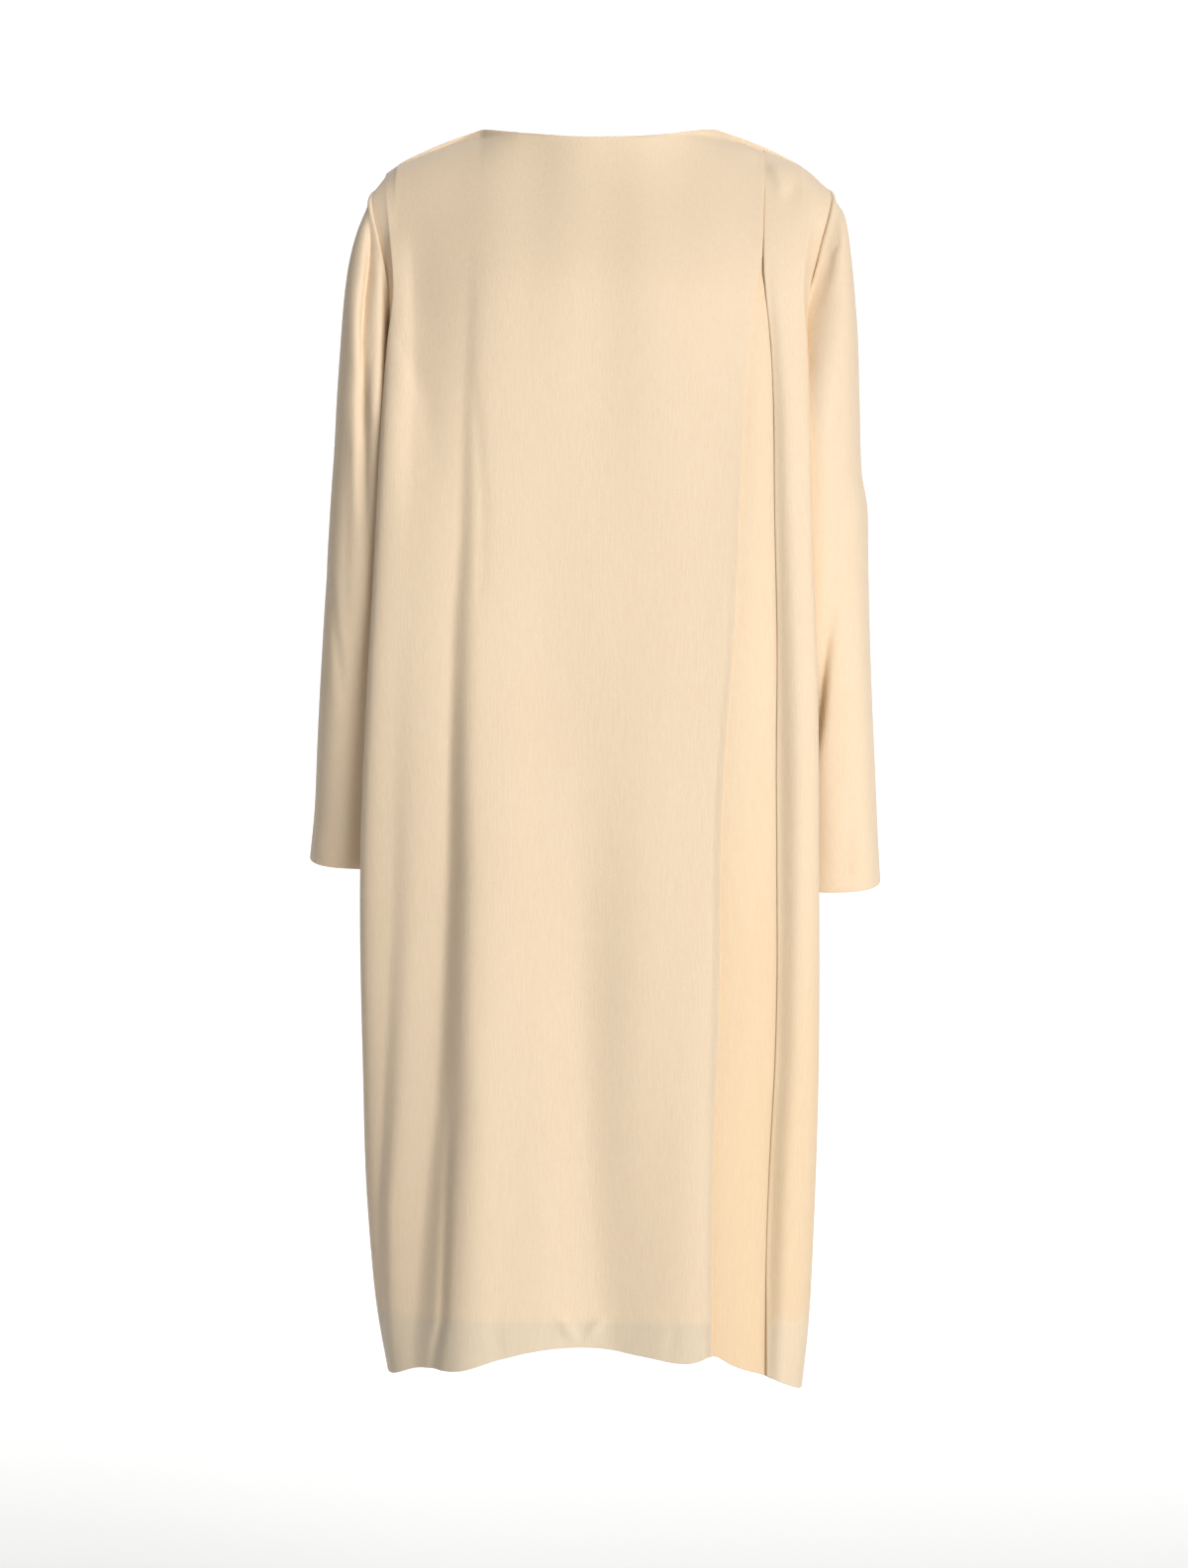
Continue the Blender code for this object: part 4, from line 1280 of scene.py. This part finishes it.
@dataclass
class Sleeve:
    """Long set-in sleeve with a turned-up cuff hem."""

    name: str
    side: Side
    rings: Sizes
    back_creases: tuple[Crease | Wander, ...]
    front_creases: tuple[Crease | Wander, ...]
    armhole: Armhole = Armhole()
    round: float = 2.7
    turn_out: float = 0.004
    behind: float = 0.016
    cuff_tilt: float = 0.010
    tilt_rings: int = 4
    head_rings: int = 5
    head_fade: float = 1.5
    ring_steps: int = 120
    around_steps: int = 132
    ring_length: float = 0.050
    hem: float = 0.027
    hem_rows: int = 7
    overlap: float = 0.5  # How far the back's and the front's creases pass the sleeve's edge
    creased_from: float = 0.5  # Ring from which the creases are full
    puff: float = 0.0022  # The sleeve head stands out beside the seam
    puff_ring: float = 0.35
    puff_from: float = 0.2

    def places(self) -> np.ndarray:
        """Space the rows from the armhole to the cuff, closest in the hem.

        Returns:
            Ring number of each row.
        """
        last = self.rings.keys[-1]
        hem = last - self.hem / self.ring_length
        return np.concatenate([
            np.linspace(0.0, hem, self.ring_steps, endpoint=False),
            np.linspace(hem, last, self.hem_rows),
        ])

    def smooth(self) -> tuple[np.ndarray, np.ndarray]:
        """Build the sleeve before its creases.

        Returns:
            Points by row and column, and each point's share towards the back, -1 to 1.
        """
        key = self.places()[:, None]
        angles = np.linspace(0.0, 360.0, self.around_steps, endpoint=False)
        turn = np.radians(angles)[None, :]
        along = signed_power(np.cos(turn), 2 / self.round)
        around = signed_power(np.sin(turn), 2 / self.round)
        size = {name: self.rings.at(name, key) for name in self.rings.columns}
        sign = self.side.value
        x = sign * ((size["outer"] + size["inner"]) + (size["outer"] - size["inner"]) * along) / 2
        z = (size["outer_z"] + size["inner_z"]) / 2
        z = z + (size["outer_z"] - size["inner_z"]) / 2 * along
        y = size["depth"] - size["half_depth"] * around
        hung = ease(key / self.head_rings)
        y = y + self.turn_out * hung * along - self.behind * hung
        from_cuff = self.rings.keys[-1] - key
        z = z - self.cuff_tilt * np.maximum(0.0, 1 - from_cuff / self.tilt_rings) * around
        grid = np.stack(np.broadcast_arrays(x, y, z), axis=2)
        shift = self.armhole.points(angles, self.side) - grid[0]
        fade = np.maximum(0.0, 1 - key / self.head_rings) ** self.head_fade
        grid = grid + shift[None] * fade[..., None]
        return grid, np.broadcast_to(around, grid.shape[:2])

    def build(self) -> bpy.types.Object:
        """Build the sleeve's mesh with its cuff hem turned in.

        Returns:
            The piece.
        """
        grid, around = self.smooth()
        sign = -1.0 if self.side is Side.LEFT else 1.0
        inward = inward_of(grid, True, -sign)
        x, z = grid[..., 0], grid[..., 2]
        back = press_all(self.back_creases, x, z) * ease(self.overlap + around)
        front = press_all(self.front_creases, x, z) * ease(self.overlap - around)
        key = self.places()[:, None]
        head = -self.puff * np.exp(-(((key - self.puff_ring) / self.puff_ring) ** 2))
        fade = ease(key / self.creased_from)
        deep = (back + front) * fade + head * ease(key / self.puff_from)
        grid = grid + inward * deep[..., None]
        inward = inward_of(grid, True, -sign)
        end = len(grid) - 1
        hem = turn_in(grid, inward, range(end - self.hem_rows + 1, end), end)
        grid = np.concatenate([grid, np.stack(hem[::-1])])
        piece = make_cloth(self.name, grid, True, self.side is Side.LEFT)
        LOG.info("%s: %d points", self.name, grid.shape[0] * grid.shape[1])
        return piece


@dataclass(frozen=True)
class Studio:
    """Camera, pale floor and soft light round the dress."""

    distance: float = 3.2
    aim: tuple[float, float] = (-0.0044, -0.5817)
    sensor: float = 36.0
    lens: float = 82.6
    floor_height: float = -1.50
    floor_half: float = 5.0
    surround: float = 0.23
    backdrop: float = 1.15
    backdrop_edges: tuple[float, float] = (50.0, 24.0)
    key_turn: float = 30.0
    key_height: float = 8.0
    key_strength: float = 3.0
    key_softness: float = 36.0
    ground_place: tuple[float, float, float] = (0.0, 3.9, 1.9)
    ground_size: tuple[float, float] = (9.0, 6.4)
    ground_spread: float = 120.0
    ground_power: float = 170.0

    def camera(self) -> None:
        """Set up the camera."""
        data = bpy.data.cameras.new("camera")
        data.sensor_width = self.sensor
        data.lens = self.lens
        place = (self.aim[0], -self.distance, self.aim[1])
        bpy.context.scene.camera = put("camera", data, place, (90.0, 0.0, 0.0))

    def floor(self) -> None:
        """Lay the pale floor."""
        half, z = self.floor_half, self.floor_height
        mesh = bpy.data.meshes.new("floor")
        corners = [(-half, -half, z), (half, -half, z), (half, half, z), (-half, half, z)]
        mesh.from_pydata(corners, [], [(0, 1, 2, 3)])
        mesh.materials.append(StudioPaint().material())
        floor = put("floor", mesh)

    def key(self) -> None:
        """Set the key light, a far and wide softbox at the right of the camera."""
        data = bpy.data.lights.new("key", "SUN")
        data.energy = self.key_strength
        data.angle = math.radians(self.key_softness)
        put("key", data, turn=(90 - self.key_height, 0.0, self.key_turn))

    def ground_light(self) -> None:
        """Hang a wide softbox over the floor behind the dress."""
        data = bpy.data.lights.new("ground_light", "AREA")
        data.shape = "RECTANGLE"
        data.size, data.size_y = self.ground_size
        data.spread = math.radians(self.ground_spread)
        data.energy = self.ground_power
        put("ground_light", data, self.ground_place)

    def surroundings(self) -> None:
        """Set the pale surround, brightest in a wide patch behind the dress."""
        world = bpy.data.worlds.new("studio")
        world.use_nodes = True
        tree = world.node_tree
        way = add_node(tree, "ShaderNodeTexCoord").outputs["Generated"]
        split = add_node(tree, "ShaderNodeSeparateXYZ", {"Vector": way})
        outer, inner = (math.cos(math.radians(edge)) for edge in self.backdrop_edges)
        links = {
            "Value": split.outputs["Y"],
            "From Min": outer,
            "From Max": inner,
            "To Min": self.surround,
            "To Max": self.backdrop,
        }
        patch = add_node(tree, "ShaderNodeMapRange", links, interpolation_type="SMOOTHSTEP")
        ground = tree.nodes["Background"]
        ground.inputs["Color"].default_value = (1.0, 1.0, 1.0, 1.0)
        tree.links.new(patch.outputs["Result"], ground.inputs["Strength"])
        bpy.context.scene.world = world
        bpy.context.scene.view_settings.view_transform = "Standard"


def main() -> None:
    """Build the dress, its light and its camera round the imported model."""
    logging.basicConfig(level=logging.INFO, format="%(name)s: %(message)s")
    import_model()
    studio = Studio()
    studio.camera()
    studio.floor()
    studio.key()
    studio.ground_light()
    studio.surroundings()
    cloth = Crepe().material()
    back_yoke = Yoke(drop=0.016, out=-0.055, corner=0.75)
    front_yoke = Yoke(drop=0.120, out=0.076)
    back = BackPanel("dress_back", Facing.BACK, BACK_SHAPE, back_yoke, BACK_CREASES)
    front = FrontPanel("dress_front", Facing.FRONT, FRONT_SHAPE, front_yoke, FRONT_CREASES)
    left = Sleeve(
        "sleeve_left", Side.LEFT, LEFT_RINGS, LEFT_BACK_CREASES, LEFT_FRONT_CREASES, behind=0.018
    )
    right = Sleeve(
        "sleeve_right", Side.RIGHT, RIGHT_RINGS, RIGHT_BACK_CREASES, RIGHT_FRONT_CREASES
    )
    # What each piece stands for, the rectangle and the area it is cut from, what it hangs on
    flats = (
        (back, "back_panel", (0.72, 1.13), 0.70, ["front_panel"]),
        (front, "front_panel", (0.54, 1.13), 0.53, ["back_panel"]),
        (left, "left_sleeve", (0.36, 0.63), 0.18, ["back_panel", "front_panel"]),
        (right, "right_sleeve", (0.37, 0.65), 0.19, ["back_panel", "front_panel"]),
    )
    for part, node, flat, area, hangs_from in flats:
        piece = part.build()
        piece.data.materials.append(cloth)
        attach(piece, "root")
        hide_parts(node)
        LOG.info("%s stands for %s", piece.name, node)


if __name__ == "__main__":
    main()
